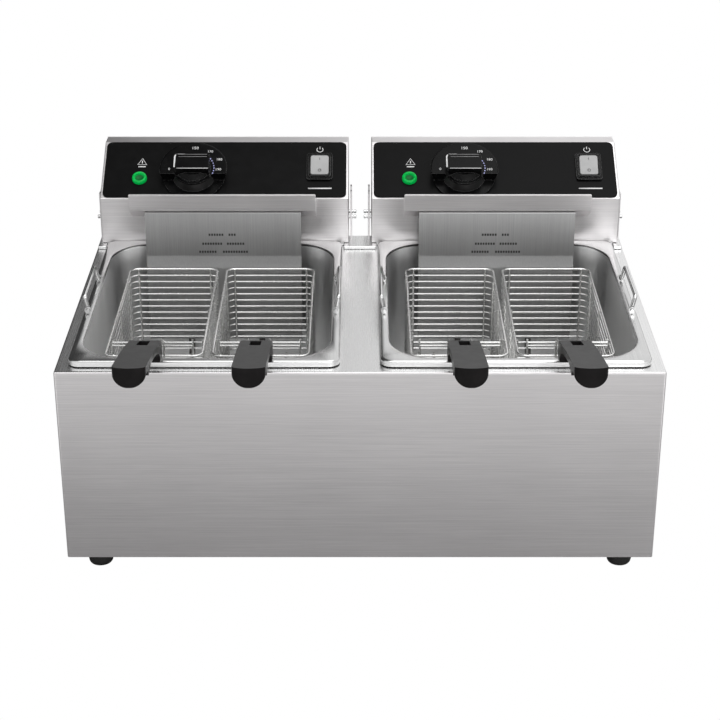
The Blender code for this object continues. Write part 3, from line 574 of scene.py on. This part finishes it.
def drawn_wire(name, dark, light, rough, stretch):
    """Bright drawn wire, with faint even clouds of tone."""
    made, tree, surface = principled(name, Metallic=1.0)
    grain = grain_in(tree, brushing, "Stretch", (stretch,) * 3)
    tree.links.new(mixed(tree, grain["Cloud"], dark, light), surface.inputs["Base Color"])
    tree.links.new(ranged(tree, grain["Tone"], 0, 1, *rough), surface.inputs["Roughness"])
    return made


bright_wire = drawn_wire("bright_wire", (0.62, 0.62, 0.62), (0.82, 0.82, 0.82), (0.12, 0.24), 90)

bail_pivot_x, bail_pivot_z = 0.120, 0.010
bail_front, bail_back, bail_top, bail_lean = 0.1225, 0.1975, 0.0235, 0.003


def carve(piece, other, operation):
    """Join or cut a piece with another, which is used up."""
    step = piece.modifiers.new("carve", "BOOLEAN")
    step.operation = operation
    step.object = other
    apply_all(piece)
    bpy.data.objects.remove(other)


def ear(x, depth):
    """A small round-topped tab with a hole through it, standing across a bail's pivot."""
    rest()
    bpy.ops.mesh.primitive_cylinder_add(vertices=32, radius=0.0034, depth=0.0012,
                                        location=at(x, depth, bail_pivot_z), rotation=(pi / 2, 0, 0))
    tab = bpy.context.object
    bpy.ops.mesh.primitive_cube_add(size=1, location=at(x, depth, 0.0081))
    bpy.ops.transform.resize(value=(0.0046, 0.0012, 0.0030))
    foot = bpy.context.object
    bpy.ops.mesh.primitive_cylinder_add(vertices=24, radius=0.0024, depth=0.01,
                                        location=at(x, depth, bail_pivot_z), rotation=(pi / 2, 0, 0))
    drill = bpy.context.object
    carve(tab, foot, "UNION")
    carve(tab, drill, "DIFFERENCE")
    settle(tab)
    soften(tab, 0.0002, 2, 40)
    return tab


for side, sign in SIDES:
    tank = placed("tank", drawn_tank.data.copy())
    settle(tank, Matrix.Translation(at(sign * tank_x, (rim_front + rim_back) / 2, 0)))
    tabs = [ear(sign * tank_x + reach * bail_pivot_x, depth)
            for reach in (-1, 1) for depth in (bail_front - 0.0035, bail_back + 0.0035)]
    tank = join(tank, *tabs)
    finish(tank, "drawn_tank_" + side, "tank_" + side, "steel_sheet", tank_steel, rim_steel,
           stands_for=["tank_" + side])
    for face in tank.data.polygons:
        face.material_index = 1 if face.center.z > deck_z + 0.0050 or face.normal.z < -0.5 else 0
    for where, outward in (("outer", sign), ("inner", -sign)):
        x = sign * tank_x + outward * bail_pivot_x
        top_x = x + outward * bail_lean
        points = [at(x, bail_front - 0.0060, bail_pivot_z), at(x, bail_front, bail_pivot_z),
                  at(top_x, bail_front, bail_top), at(top_x, bail_back, bail_top),
                  at(x, bail_back, bail_pivot_z), at(x, bail_back + 0.0060, bail_pivot_z)]
        finish(tube(bent(points, 0.0024), 0.002), f"bail_{where}_{side}", f"bail_{where}_{side}", "steel_wire",
               bright_wire, stands_for=[f"tank_bail_{where}_{side}"])
bpy.data.objects.remove(drawn_tank)

# ---------------------------------------------------------------- head housings
# A folded steel box on each tank's back edge, with a slanted face for the controls, a flat cover
# screwed on from behind, and two rods right through it that hang in the brackets' slots.
head_x = 0.1436
panel_low, panel_high = (0.3152, 0.0538), (0.3817, 0.0943)
slope = atan2(panel_high[1] - panel_low[1], panel_high[0] - panel_low[0])


def on_panel(x, across=0.0, up=0.0, out=0.0):
    """The frame of a spot on a control face: X across, Y up its slope, Z out of it."""
    middle = at(x, (panel_low[0] + panel_high[0]) / 2, (panel_low[1] + panel_high[1]) / 2)
    return Matrix.Translation(middle) @ Matrix.Rotation(slope, 4, "X") @ Matrix.Translation((across, up, out))


def slab(low, high, width=0.0, segments=2):
    """A block between two corners with its edges rounded."""
    rest()
    size = Vector(high) - Vector(low)
    bpy.ops.mesh.primitive_cube_add(size=1, location=(Vector(high) + Vector(low)) / 2)
    made = bpy.context.object
    bpy.ops.transform.resize(value=size)
    settle(made)
    if width:
        soften(made, width, segments)
    return made


screw_profile = ((0.0006, 0.0022), (0.0016, 0.0021), (0.0028, 0.0016), (0.0035, 0.0008), (0.0036, 0.0),
                 (0.0006, 0.0))
for side, sign in SIDES:
    x = sign * head_x
    body = "head_" + side
    finish(from_frame("head_housing_" + side, 0.0004), "head_box_" + side, body, "steel_sheet", sheet_across,
           stands_for=["head_housing_" + side])
    cover_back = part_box("head_back_cover_" + side)[1].y - front_y
    cover = from_frame("head_back_cover_" + side, 0.0003)
    screws = []
    for across in (-0.118, -0.04, 0.04, 0.118):
        for height in (0.0115, 0.085):
            screw = turned("screw", screw_profile, 24)
            settle(screw, Matrix.Translation(at(x + across, cover_back - 0.0001, height))
                   @ Matrix.Rotation(-pi / 2, 4, "X"))
            screws.append(screw)
    for row in range(5):
        vent = slab(at(x - 0.012, cover_back - 0.0005, 0.036 + 0.0085 * row),
                    at(x + 0.098, cover_back + 0.0018, 0.0395 + 0.0085 * row), 0.0012, 3)
        screws.append(vent)
    finish(join(cover, *screws), "back_cover_" + side, body, "steel_sheet", sheet_across,
           stands_for=["head_back_cover_" + side])
    for row in ("front", "rear"):
        low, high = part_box(f"hanger_rod_{row}_{side}")
        length = high.x - low.x
        groove = ((0.0004, 0.0), (0.0016, 0.0), (0.0020, 0.0005), (0.0020, 0.0022), (0.0014, 0.0024),
                  (0.0014, 0.0032), (0.0020, 0.0034), (0.0020, length - 0.0034), (0.0014, length - 0.0032),
                  (0.0014, length - 0.0024), (0.0020, length - 0.0022), (0.0020, length - 0.0005),
                  (0.0016, length), (0.0004, length))
        rod = turned("rod", groove, 24)
        settle(rod, Matrix.Translation((low.x, (low.y + high.y) / 2, (low.z + high.z) / 2))
               @ Matrix.Rotation(pi / 2, 4, "Y"))
        finish(rod, f"rod_{row}_{side}", body, "steel_wire", bright_wire,
               stands_for=[f"hanger_rod_{row}_{side}"])

# ---------------------------------------------------------------- hook bar and guard
# The drain bar is a folded strip that lifted baskets hook over. The guard hangs below it in front
# of the element's legs, grained upright, with a small outward step and three rows of plain marks.
guard_marks, tree, surface = principled("guard_marks", Metallic=0.6, Roughness=0.5)
surface.inputs["Base Color"].default_value = (0.05, 0.05, 0.05, 1)
grain = grain_in(tree, brushing, "Stretch", (500, 500, 9))
tree.links.new(ranged(tree, grain["Tone"], 0, 1, 0.4, 0.6), surface.inputs["Roughness"])
mark_rows = ((0.0229, (0.017, 0.010)), (0.0128, (0.022, 0.019)), (0.0037, (0.021, 0.027)))
guard_face = 0.2889
mark_tall, mark_pitch = 0.0025, 0.0027


def prism(profile, wide):
    """A solid whose profile (depth, height) runs along X for a width, centred on X."""
    line = bpy.data.curves.new("profile", "CURVE")
    line.dimensions = "2D"
    line.fill_mode = "BOTH"
    line.extrude = wide / 2
    path = line.splines.new("POLY")
    path.points.add(len(profile) - 1)
    for spot, (depth, height) in zip(path.points, profile):
        spot.co = (depth, height, 0, 1)
    path.use_cyclic_u = True
    made = as_mesh(placed("prism", line))
    settle(made, Matrix(((0, 0, 1, 0), (1, 0, 0, 0), (0, 1, 0, 0), (0, 0, 0, 1))))
    weld(made)
    return made


for side, sign in SIDES:
    x = sign * head_x
    body = "head_" + side
    finish(from_frame("hook_bar_" + side, 0.0004), "drain_bar_" + side, body, "steel_sheet", sheet_across,
           stands_for=["hook_bar_" + side])
    low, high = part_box("element_guard_" + side)
    low, high = low - Vector((0, front_y, deck_z)), high - Vector((0, front_y, deck_z))
    sheet = 0.0009
    fold = [(high.y - 0.0005, high.z), (guard_face + 0.0018, high.z), (guard_face + 0.0006, high.z - 0.0006),
            (guard_face, high.z - 0.0020), (guard_face, 0.0004), (guard_face - 0.0004, -0.0020),
            (low.y + 0.0006, -0.0130), (low.y, -0.0160), (low.y, low.z)]
    inner = [(low.y + sheet, low.z), (low.y + sheet, -0.0158), (guard_face + sheet, 0.0002),
             (guard_face + sheet, high.z - 0.0024), (guard_face + 0.0022, high.z - sheet),
             (high.y - 0.0005, high.z - sheet)]
    guard = prism(fold + inner, high.x - low.x)
    settle(guard, Matrix.Translation((x, front_y, deck_z)))
    take(guard)
    bpy.ops.object.shade_smooth_by_angle(angle=radians(40))
    # The guard gets the darker copy of the stainless, as painted shade.
    finish(guard, "guard_plate_" + side, body, "steel_sheet", shaded_upright_sheet,
           stands_for=["element_guard_" + side])
    marks = []
    for height, words in mark_rows:
        start = x - (sum(words) + 0.004) / 2
        for word in words:
            count = int(word / mark_pitch)
            for step in range(count):
                left = start + step * mark_pitch
                marks.append(slab(at(left, guard_face - 0.00008, height - mark_tall / 2),
                                  at(left + 0.0019, guard_face + 0.0001, height + mark_tall / 2)))
            start += word + 0.004
    finish(join(*marks), "guard_marks_" + side, body, "steel_sheet", guard_marks)

# ---------------------------------------------------------------- heating elements
# A sheathed tube in one length: two legs down behind the guard and a flat loop under the baskets,
# dull grey-brown from heat.
element_tube = brushed("element_tube", (0.10, 0.095, 0.09), (0.22, 0.21, 0.20), (0.35, 0.5), (60, 60, 60))
loop_z = -0.1152
for side, sign in SIDES:
    x = sign * head_x
    route = [(0.038, 0.3270, 0.020), (0.038, 0.2940, 0.020), (0.038, 0.2940, loop_z), (0.038, 0.262, loop_z),
             (0.088, 0.262, loop_z), (0.088, 0.082, loop_z), (0.044, 0.082, loop_z), (0.044, 0.232, loop_z)]
    half = [at(x + across, depth, height) for across, depth, height in route]
    other = [at(x - across, depth, height) for across, depth, height in reversed(route)]
    finish(tube(bent(half + other, 0.011), 0.00325, sides=4), "element_tube_" + side, "head_" + side,
           "element_sheath", element_tube, stands_for=["heating_element_" + side])

# ---------------------------------------------------------------- control panels
# A satin black printed film with rounded corners on each slanted face, cut out for the lamp, dial
# and switch, with plain generic marks in white.
panel_black = moulded("panel_black", (0.0035, 0.0035, 0.0036), (0.0050, 0.0050, 0.0052), (0.30, 0.36), 700, 0.02,
                      Specular_IOR_Level=0.07)
# White print; the same finish also paints one highlight line along each dial's bar.
white_ink_and_highlight = moulded("white_ink_and_highlight", (0.78, 0.78, 0.78), (0.70, 0.70, 0.70), (0.45, 0.55), 900, 0.02)
ink = 0.00006
film_top = 0.0011


def strip(outline, x, across, up, closed=False, wide=0.0008, out=film_top):
    """A thin line of a given width along points on a control face, for print and for painted highlights."""
    line = bpy.data.curves.new("line", "CURVE")
    line.dimensions = "3D"
    line.extrude = wide / 2
    path = line.splines.new("POLY")
    path.points.add(len(outline) - 1)
    for spot, (px, py) in zip(path.points, outline):
        spot.co = (px, py, 0, 1)
        spot.tilt = pi / 2
    path.use_cyclic_u = closed
    made = as_mesh(placed("line", line))
    thick = made.modifiers.new("ink", "SOLIDIFY")
    thick.thickness = ink
    thick.offset = 0
    apply_all(made)
    settle(made, on_panel(x, across, up, out + ink / 2))
    return made


def circle_points(radius, start, end, count):
    return [(radius * cos(radians(start + (end - start) * step / (count - 1))),
             radius * sin(radians(start + (end - start) * step / (count - 1)))) for step in range(count)]


for side, sign in SIDES:
    x = sign * head_x
    body = "head_" + side
    finish(from_frame("control_panel_" + side, 0.00015), "panel_film_" + side, body, "panel_print", panel_black,
           stands_for=["control_panel_" + side])
    power = [strip(circle_points(0.0033, 132, 408, 29), x, 0.1005, 0.0272, wide=0.0007),
             strip([(0, 0.0006), (0, 0.0044)], x, 0.1005, 0.0272, wide=0.0007)]
    triangle = [(-0.0048, -0.0036), (0.0048, -0.0036), (0.0, 0.0048)]
    icon = [strip(triangle, x, -0.0895, 0.0100, closed=True, wide=0.0009),
            strip([(0, -0.0020), (0, 0.0016)], x, -0.0895, 0.0100, wide=0.0011),
            strip([(-0.0040, 0), (0.0040, 0)], x, -0.0895, 0.0035, wide=0.0014)]
    plain = [strip([(-0.0125, 0), (0.0125, 0)], x, 0.1010, -0.0262, wide=0.0016)]
    finish(join(*power, *icon, *plain), "panel_marks_" + side, body, "panel_print", white_ink_and_highlight)

# ---------------------------------------------------------------- pilot lamps
# A green lens like a ring with a hollow middle. It glows faintly.
lens_green, tree, surface = principled("lens_green", Roughness=0.2, Specular_IOR_Level=0.2)
where_on = tree.nodes.new("ShaderNodeTexCoord")
speckle = noise_in(tree, 420, 2, where_on.outputs["Object"])
glow = mixed(tree, ranged(tree, speckle, 0.35, 0.65, 0, 1), (0.0, 0.24, 0.035), (0.0, 0.36, 0.06))
tree.links.new(glow, surface.inputs["Base Color"])
tree.links.new(glow, surface.inputs["Emission Color"])
surface.inputs["Emission Strength"].default_value = 0.5
lens_hollow, tree, surface = principled("lens_hollow", Roughness=0.4, Specular_IOR_Level=0.2)
speckle = noise_in(tree, 420, 2, tree.nodes.new("ShaderNodeTexCoord").outputs["Object"])
tree.links.new(mixed(tree, speckle, (0.0, 0.10, 0.02), (0.0, 0.16, 0.03)), surface.inputs["Base Color"])
lamp_profile = ((0.0005, 0.0004), (0.0030, 0.0006), (0.0044, 0.0014), (0.0050, 0.0034), (0.0059, 0.0041),
                (0.0067, 0.0039), (0.0074, 0.0032), (0.0078, 0.0022), (0.0079, 0.0010), (0.0079, 0.0),
                (0.0060, 0.0), (0.0060, -0.018), (0.0005, -0.018))
for side, sign in SIDES:
    dome = turned("dome", lamp_profile, 48)
    hollow = [face.index for face in dome.data.polygons
              if face.center.xy.length < 0.0046 and face.center.z > 0]
    settle(dome, on_panel(sign * head_x, -0.091, -0.0134, 0.0014))
    finish(dome, "pilot_lens_" + side, "head_" + side, "green_lens", lens_green, lens_hollow,
           stands_for=["indicator_lamp_" + side])
    for index in hollow:
        dome.data.polygons[index].material_index = 1

# ---------------------------------------------------------------- dials
# A black phenolic dial: a skirt with figures, cut away below a chord so that the round hub stands
# free there, and a bar to grip with a white hooked line round one end.
dial_black = moulded("dial_black", (0.0020, 0.0020, 0.0022), (0.0040, 0.0040, 0.0040), (0.22, 0.32), 1600, 0.03,
                     Specular_IOR_Level=0.10)
# Painted highlights: this grey finish goes on the rounded edges of the dial and switch frame and on two thin
# lines along the dial's bar.
dial_edge_highlight = moulded("dial_edge_highlight", (0.20, 0.20, 0.20), (0.26, 0.26, 0.26), (0.15, 0.25), 1600, 0.03)
dial_sheen = moulded("dial_sheen", (0.006, 0.006, 0.006), (0.010, 0.010, 0.010), (0.30, 0.40), 1600, 0.03)
blue_ink = moulded("blue_ink", (0.50, 0.52, 0.92), (0.56, 0.58, 0.95), (0.45, 0.55), 900, 0.02)
dial_x, dial_up, dial_low = -0.033, -0.0098, 0.0023
skirt_high = 0.0125
dial_profile = ((0.0008, 0.0175), (0.0132, 0.0175), (0.0141, 0.0172), (0.0180, 0.0146), (0.0185, 0.0140),
                (0.0185, skirt_high), (0.0345, skirt_high), (0.0352, 0.0124), (0.0357, 0.0120),
                (0.0358, 0.0114), (0.0330, 0.0004), (0.0326, 0.0), (0.0008, 0.0))


def figure(text, size, x, across, up, out, turn=0.0):
    """A printed figure, centred on a spot of a control face."""
    rest()
    bpy.ops.object.text_add()
    made = bpy.context.object
    made.data.body = text
    made.data.size = size
    made.data.align_x = "CENTER"
    made.data.align_y = "CENTER"
    made.data.extrude = ink / 2
    made.data.resolution_u = 3
    made = as_mesh(made)
    settle(made, on_panel(x, across, up, out) @ Matrix.Rotation(turn, 4, "Z"))
    return made


for side, sign in SIDES:
    x = sign * head_x
    body = "knob_" + side
    dial = turned("dial", dial_profile, 72)
    scoop = slab((-0.05, -0.05, 0.0014), (0.05, -0.0072, 0.03))
    boss = turned("boss", ((0.0005, 0.0400), (0.0214, 0.0400), (0.0214, 0.0106), (0.0192, 0.0100),
                           (0.0232, 0.0008), (0.0005, 0.0008)), 72)
    carve(scoop, boss, "DIFFERENCE")
    carve(dial, scoop, "DIFFERENCE")
    bar = slab((-0.0176, -0.0104, 0.010), (0.0176, 0.0092, 0.0245))
    carve(dial, bar, "UNION")
    rest()
    bpy.ops.mesh.primitive_cylinder_add(vertices=32, radius=0.0033, depth=0.0195, location=(0, 0, 0.00475))
    carve(dial, bpy.context.object, "DIFFERENCE")
    paint(dial, dial_black, dial_edge_highlight, dial_sheen)
    for face in dial.data.polygons:
        reach = max(dial.data.vertices[index].co.xy.length for index in face.vertices)
        if 0.3 < face.normal.z < 0.95 and reach < 0.0240 and 0.001 < face.center.z < 0.0102:
            face.material_index = 2
    # Painted highlight: the dial's rounded edges get the grey finish.
    soften(dial, 0.00045, 2, 32, 1)
    settle(dial, on_panel(x, dial_x, dial_up, dial_low))
    finish(dial, "dial_" + side, body, "black_plastic", stands_for=["knob_" + side])
    level = dial_low + skirt_high + ink / 2
    figures = [figure("150", 0.0050, x, dial_x + 0.0007, dial_up + 0.0275, level),
               figure("170", 0.0042, x, dial_x + 0.0170, dial_up + 0.0228, level),
               figure("180", 0.0044, x, dial_x + 0.0270, dial_up + 0.0118, level),
               figure("190", 0.0044, x, dial_x + 0.0265, dial_up - 0.0018, level),
               figure("0", 0.0044, x, dial_x - 0.0255, dial_up - 0.0012, level)]
    hook = [(-0.0190, -0.0078), (-0.0190, 0.0062)]
    hook += [(-0.0158 + px, 0.0062 + py) for px, py in circle_points(0.0032, 180, 90, 7)]
    hook += [(-0.0085, 0.0094)]
    pointer = strip(hook, x, dial_x, dial_up, wide=0.0016, out=dial_low + 0.0236)
    # Painted highlight: a thin white line along the bar's lower edge, joined with the white figures.
    lower_highlight_line = strip([(-0.0160, 0), (0.0168, 0)], x, dial_x, dial_up - 0.0100, wide=0.0007, out=dial_low + 0.0245)
    finish(join(*figures, pointer, lower_highlight_line), "dial_figures_and_highlight_" + side, body, "panel_print", white_ink_and_highlight)
    # Painted highlights: two thin grey lines along the bar's upper edge.
    upper_highlight_lines = [strip([(-0.0150, 0), (0.0150, 0)], x, dial_x, dial_up + spot, wide=0.0006, out=dial_low + 0.0245)
             for spot in (0.0058, 0.0089)]
    finish(join(*upper_highlight_lines), "dial_highlight_lines_" + side, body, "panel_print", dial_edge_highlight)
    ticks = [strip(circle_points(0.0218, -20 + 9 * step, -16 + 9 * step, 3), x, dial_x, dial_up, wide=0.0011,
                   out=dial_low + skirt_high) for step in range(8)]
    finish(join(*ticks), "dial_ticks_" + side, body, "panel_print", blue_ink)
for side, sign in SIDES:
    paint(nodes["thermostat_shaft_" + side], bright_wire)

# ---------------------------------------------------------------- rocker switches
# A standard panel switch: a black frame with a raised inner lip, and a light grey rocker with
# rounded corners, a dished face and the usual bar and ring marks.
switch_x, switch_up = 0.1005, 0.0024
frame_black = moulded("frame_black", (0.002, 0.002, 0.002), (0.004, 0.004, 0.004), (0.25, 0.35), 1500, 0.03,
                      Specular_IOR_Level=0.12)
rocker_grey = moulded("rocker_grey", (0.33, 0.33, 0.33), (0.38, 0.38, 0.38), (0.32, 0.40), 1300, 0.03)
mark_grey = moulded("mark_grey", (0.10, 0.10, 0.10), (0.14, 0.14, 0.14), (0.45, 0.55), 1300, 0.03)


def rounded_slab(half_x, half_y, low, high, corner, width):
    """An upright slab with rounded corners and softened edges, about the origin."""
    made = rounded_loop(half_x, half_y, low, corner, 8)
    bpy.ops.mesh.edge_face_add()
    bpy.ops.mesh.extrude_region_move(TRANSFORM_OT_translate={"value": (0, 0, high - low)})
    bpy.ops.mesh.select_all(action="SELECT")
    bpy.ops.mesh.normals_make_consistent(inside=False)
    bpy.ops.object.mode_set(mode="OBJECT")
    settle(made)
    if width:
        soften(made, width, 3)
    return made


for side, sign in SIDES:
    x = sign * head_x
    bezel = rounded_slab(0.01375, 0.0180, 0.0, 0.0022, 0.003, 0)
    carve(bezel, rounded_slab(0.0118, 0.0152, 0.001, 0.0042, 0.0032, 0), "UNION")
    carve(bezel, slab((-0.0117, -0.0149, -0.0174), (0.0117, 0.0149, 0.001)), "UNION")
    carve(bezel, rounded_slab(0.0103, 0.0138, -0.010, 0.02, 0.0026, 0), "DIFFERENCE")
    # Painted highlight: the frame's rounded edges get the grey finish.
    paint(bezel, frame_black, dial_edge_highlight)
    soften(bezel, 0.0003, 2, 30, 1)
    settle(bezel, on_panel(x, switch_x, switch_up, 0.0014))
    finish(bezel, "switch_frame_" + side, "head_" + side, "black_plastic", stands_for=["switch_bezel_" + side])
    key = rounded_slab(0.0097, 0.0119, -0.004, 0.0054, 0.0026, 0)
    take(key)
    dish = turned("dish", ((0.001, -0.012), (0.080, -0.012), (0.080, 0.012), (0.001, 0.012)), 96)
    settle(dish, Matrix.Translation((0, 0, 0.0844)) @ Matrix.Rotation(pi / 2, 4, "Y"))
    carve(key, dish, "DIFFERENCE")
    soften(key, 0.0007, 3)
    tilt = on_panel(x, switch_x, switch_up, 0.0014) @ Matrix.Rotation(radians(7), 4, "X")
    settle(key, tilt)
    finish(key, "rocker_key_" + side, "rocker_" + side, "grey_plastic", rocker_grey,
           stands_for=["switch_rocker_" + side])
    signs = []
    for outline, closed, spot_up in (([(0, -0.0014), (0, 0.0014)], False, 0.0078),
                                     (circle_points(0.0015, 0, 345, 24), True, -0.0066)):
        sign_mark = strip(outline, 0.0, 0.0, 0.0, closed=closed, wide=0.0006, out=0.0)
        settle(sign_mark, tilt @ Matrix.Translation((0, spot_up, 0.0050)) @ on_panel(0.0).inverted())
        signs.append(sign_mark)
    finish(join(*signs), "rocker_marks_" + side, "rocker_" + side, "grey_plastic", mark_grey)

# ---------------------------------------------------------------- behind the heads
# The thermostat is hidden behind each panel. A black nylon gland with a six-sided nut and a domed
# cap is screwed into each back cover for the mains cable.
brown_block = moulded("brown_block", (0.10, 0.055, 0.028), (0.14, 0.080, 0.042), (0.4, 0.55), 1100, 0.08)
gland_nylon = moulded("gland_nylon", (0.010, 0.010, 0.010), (0.022, 0.022, 0.022), (0.35, 0.5), 1300, 0.08)
for side, sign in SIDES:
    paint(nodes["thermostat_" + side], brown_block)
    low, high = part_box("cable_gland_" + side)
    middle = (low + high) / 2
    length = high.y - (low.y + 0.008)
    nut = turned("nut", ((0.0070, 0.0), (0.0102, 0.0), (0.0108, 0.0006), (0.0108, 0.0066), (0.0102, 0.0072),
                         (0.0070, 0.0072)), 6)
    barrel = turned("barrel", ((0.0006, -0.0078), (0.0062, -0.0078), (0.0062, 0.0071), (0.0086, 0.0071),
                               (0.0094, 0.0080), (0.0094, length - 0.0130), (0.0090, length - 0.0100),
                               (0.0078, length - 0.0040), (0.0060, length - 0.0010),
                               (0.0052, length - 0.0001), (0.0036, length - 0.0001),
                               (0.0034, length - 0.0060), (0.0006, length - 0.0060)), 48)
    ribs = []
    for step in range(16):
        rib = slab((-0.0005, 0.0088, 0.0085), (0.0005, 0.0100, length - 0.0125), 0.0002)
        settle(rib, Matrix.Rotation(2 * pi * step / 16, 4, "Z"))
        ribs.append(rib)
    soften(nut, 0.0004, 2, 40)
    gland = join(barrel, nut, *ribs)
    settle(gland, Matrix.Translation((middle.x, low.y + 0.008, middle.z)) @ Matrix.Rotation(-pi / 2, 4, "X"))
    finish(gland, "nylon_gland_" + side, "head_" + side, "black_plastic", gland_nylon,
           stands_for=["cable_gland_" + side])

# ---------------------------------------------------------------- wire baskets
# Each basket is welded from bright wire: fine rings a finger's width of seven millimetres apart, a
# thick rim, and a few uprights and floor wires inside them. Two wires rise at the front as a handle.
basket_half, basket_front, basket_back = 0.0469, 0.060, 0.281
basket_top, basket_bottom = -0.011, -0.111
ring_wire, rim_wire, ring_pitch = 0.0008, 0.0012, 0.00704
basket_corner = 0.0095
handle_x = 0.0105
basket_steel = drawn_wire("basket_steel", (0.70, 0.70, 0.69), (0.90, 0.90, 0.89), (0.16, 0.30), 70)


def ring_points(inset, height):
    """A rounded rectangle round the basket, inset from its outside."""
    half, front, back = basket_half - inset, basket_front + inset, basket_back - inset
    corner = basket_corner - inset
    points = []
    for cx, cy, turn in ((half - corner, front + corner, -90), (half - corner, back - corner, 0),
                         (corner - half, back - corner, 90), (corner - half, front + corner, 180)):
        points += [at(cx + px, cy + py, height) for px, py in circle_points(corner, turn, turn + 90, 6)]
    return points


def repeat(piece, count, pitch):
    """Copies of a piece in a row, at a pitch."""
    row = piece.modifiers.new("row", "ARRAY")
    row.use_relative_offset = False
    row.use_constant_offset = True
    row.constant_offset_displace = pitch
    row.count = count
    apply_all(piece)


ring = tube(ring_points(ring_wire, basket_bottom + 0.007), ring_wire, closed=True, sides=1)
repeat(ring, 13, (0, 0, ring_pitch))
low_ring = tube(ring_points(0.0050, basket_bottom + ring_wire), ring_wire, closed=True, sides=1)
strand = tube([at(-basket_half + 0.005, basket_front + 0.012, basket_bottom + ring_wire),
               at(basket_half - 0.005, basket_front + 0.012, basket_bottom + ring_wire)], ring_wire, sides=1)
repeat(strand, 29, (0, ring_pitch, 0))
inside = 0.0029
cradles = []
high, low = basket_top - 0.001, basket_bottom + 0.003
for x in (-0.0377, 0.0377):
    path = [at(x, basket_back - inside, high), at(x, basket_back - inside, low),
            at(x, basket_front + inside, low), at(x, basket_front + inside, 0.0045)]
    cradles.append(tube(bent(path, 0.007), 0.00105, sides=1))
reach = basket_half - inside
for depth in (0.0980, 0.1705, 0.2430):
    path = [at(-reach, depth, high), at(-reach, depth, low + 0.0018),
            at(reach, depth, low + 0.0018), at(reach, depth, high)]
    cradles.append(tube(bent(path, 0.007), 0.00105, sides=1))
for x in (-0.015, 0.015):
    cradles.append(tube([at(x, basket_front + 0.005, basket_bottom + 0.003),
                         at(x, basket_back - 0.005, basket_bottom + 0.003)], 0.00105, sides=1))
woven = join(ring, low_ring, strand, *cradles)
rim = tube(ring_points(rim_wire, basket_top - rim_wire), rim_wire, closed=True, sides=3)
grip_back, grip_front = (0.012, 0.0270), (-0.115, 0.0580)
rise = (grip_front[1] - grip_back[1]) / (grip_back[0] - grip_front[0])
entry_z = grip_back[1] - 0.0085
risers = []
for x in (-handle_x, handle_x):
    path = [at(x, basket_front + rim_wire, basket_top - rim_wire), at(x, basket_front + rim_wire, 0.006),
            at(x, grip_back[0] + 0.030, entry_z - 0.030 * rise),
            at(x, grip_back[0] - 0.018, entry_z + 0.018 * rise)]
    risers.append(tube(bent(path, 0.008), rim_wire, sides=3))
for height in (-0.0010, 0.0022):
    risers.append(tube([at(-0.0377, basket_front + inside - 0.002, height),
                        at(0.0377, basket_front + inside - 0.002, height)], 0.0010, sides=2))
rim = join(rim, *risers)

# ---------------------------------------------------------------- grips
# A heat-proof moulded grip on each handle: a thin arch with a deep round nose in front and a leg
# towards the tank's rim, its top flat with softened edges and a slot near the back.
grip_half = 0.0145
grip_black = moulded("grip_black", (0.005, 0.0042, 0.0044), (0.010, 0.0085, 0.0088), (0.30, 0.42), 1700, 0.06,
                     Specular_IOR_Level=0.12)
grip_face = moulded("grip_face", (0.050, 0.050, 0.050), (0.070, 0.070, 0.070), (0.5, 0.65), 1700, 0.10,
                    Specular_IOR_Level=0.25)
top_line = [(0.0120, 0.0245), (0.0112, 0.0264), (0.0090, 0.0278), (-0.0150, 0.0344), (-0.0400, 0.0409),
            (-0.0650, 0.0471), (-0.0900, 0.0527), (-0.1040, 0.0557), (-0.1150, 0.0580)]
under_line = [(-0.1150, 0.0397), (-0.1000, 0.0397), (-0.0920, 0.0398), (-0.0840, 0.0410), (-0.0740, 0.0420),
              (-0.0640, 0.0408), (-0.0480, 0.0368), (-0.0300, 0.0316), (-0.0170, 0.0266), (-0.0090, 0.0220),
              (-0.0050, 0.0176), (-0.0035, 0.0140), (-0.0020, 0.0112), (0.0010, 0.0098), (0.0080, 0.0098),
              (0.0108, 0.0108), (0.0120, 0.0130)]
grip = prism(top_line + under_line, 0.06)
nose_deep, bowl_top, bowl_deep = 0.0075, 0.0508, 0.0113
bowl_half = grip_half + 0.0002
nose_turns = range(0, 181, 9)
plan = prism([(grip_front[0] + nose_deep - nose_deep * sin(radians(turn)), grip_half * cos(radians(turn)))
              for turn in nose_turns] + [(0.03, -grip_half), (0.03, grip_half)], 0.2)
settle(plan, Matrix.Rotation(pi / 2, 4, "Y"))
bowl = prism([(bowl_half * cos(radians(turn)), bowl_top - bowl_deep * sin(radians(turn)))
              for turn in nose_turns] + [(-bowl_half, 0.07), (bowl_half, 0.07)], 0.4)
settle(bowl, Matrix.Rotation(pi / 2, 4, "Z"))
corners = prism([(-0.14, 0.0520), (-0.1035, 0.0520), (-0.0875, 0.0370), (-0.0875, 0.02), (-0.14, 0.02)], 0.08)
carve(corners, bowl, "DIFFERENCE")
carve(grip, plan, "INTERSECT")
carve(grip, corners, "DIFFERENCE")
carve(grip, slab((-0.0050, -0.0170, 0.0200), (0.0050, 0.0050, 0.05)), "DIFFERENCE")
paint(grip, grip_black, grip_face)
weld(grip, 0.00002)
soften(grip, 0.0011, 3, 38)
for face in grip.data.polygons:
    face.material_index = 1 if face.normal.z > 0.92 and face.center.z > 0.0265 else 0
settle(grip, Matrix.Translation((0, front_y, deck_z)))

for name, x, side in (("left_outer", -0.1954, "left"), ("left_inner", -0.0942, "left"),
                      ("right_inner", 0.0942, "right"), ("right_outer", 0.1954, "right")):
    body = "basket_" + name
    for model, made, slot, look, node in (
            (woven, "woven_wires_", "steel_wire", basket_steel, "basket_mesh_"),
            (rim, "rim_wire_", "steel_wire", basket_steel, "basket_frame_"),
            (grip, "moulded_grip_", "black_plastic", None, "basket_grip_")):
        piece = placed(made, model.data.copy())
        settle(piece, Matrix.Translation((x, 0, 0)))
        finish(piece, made + name, body, slot, *([look] if look else []), stands_for=[node + name])
for model in (woven, rim, grip):
    bpy.data.objects.remove(model)
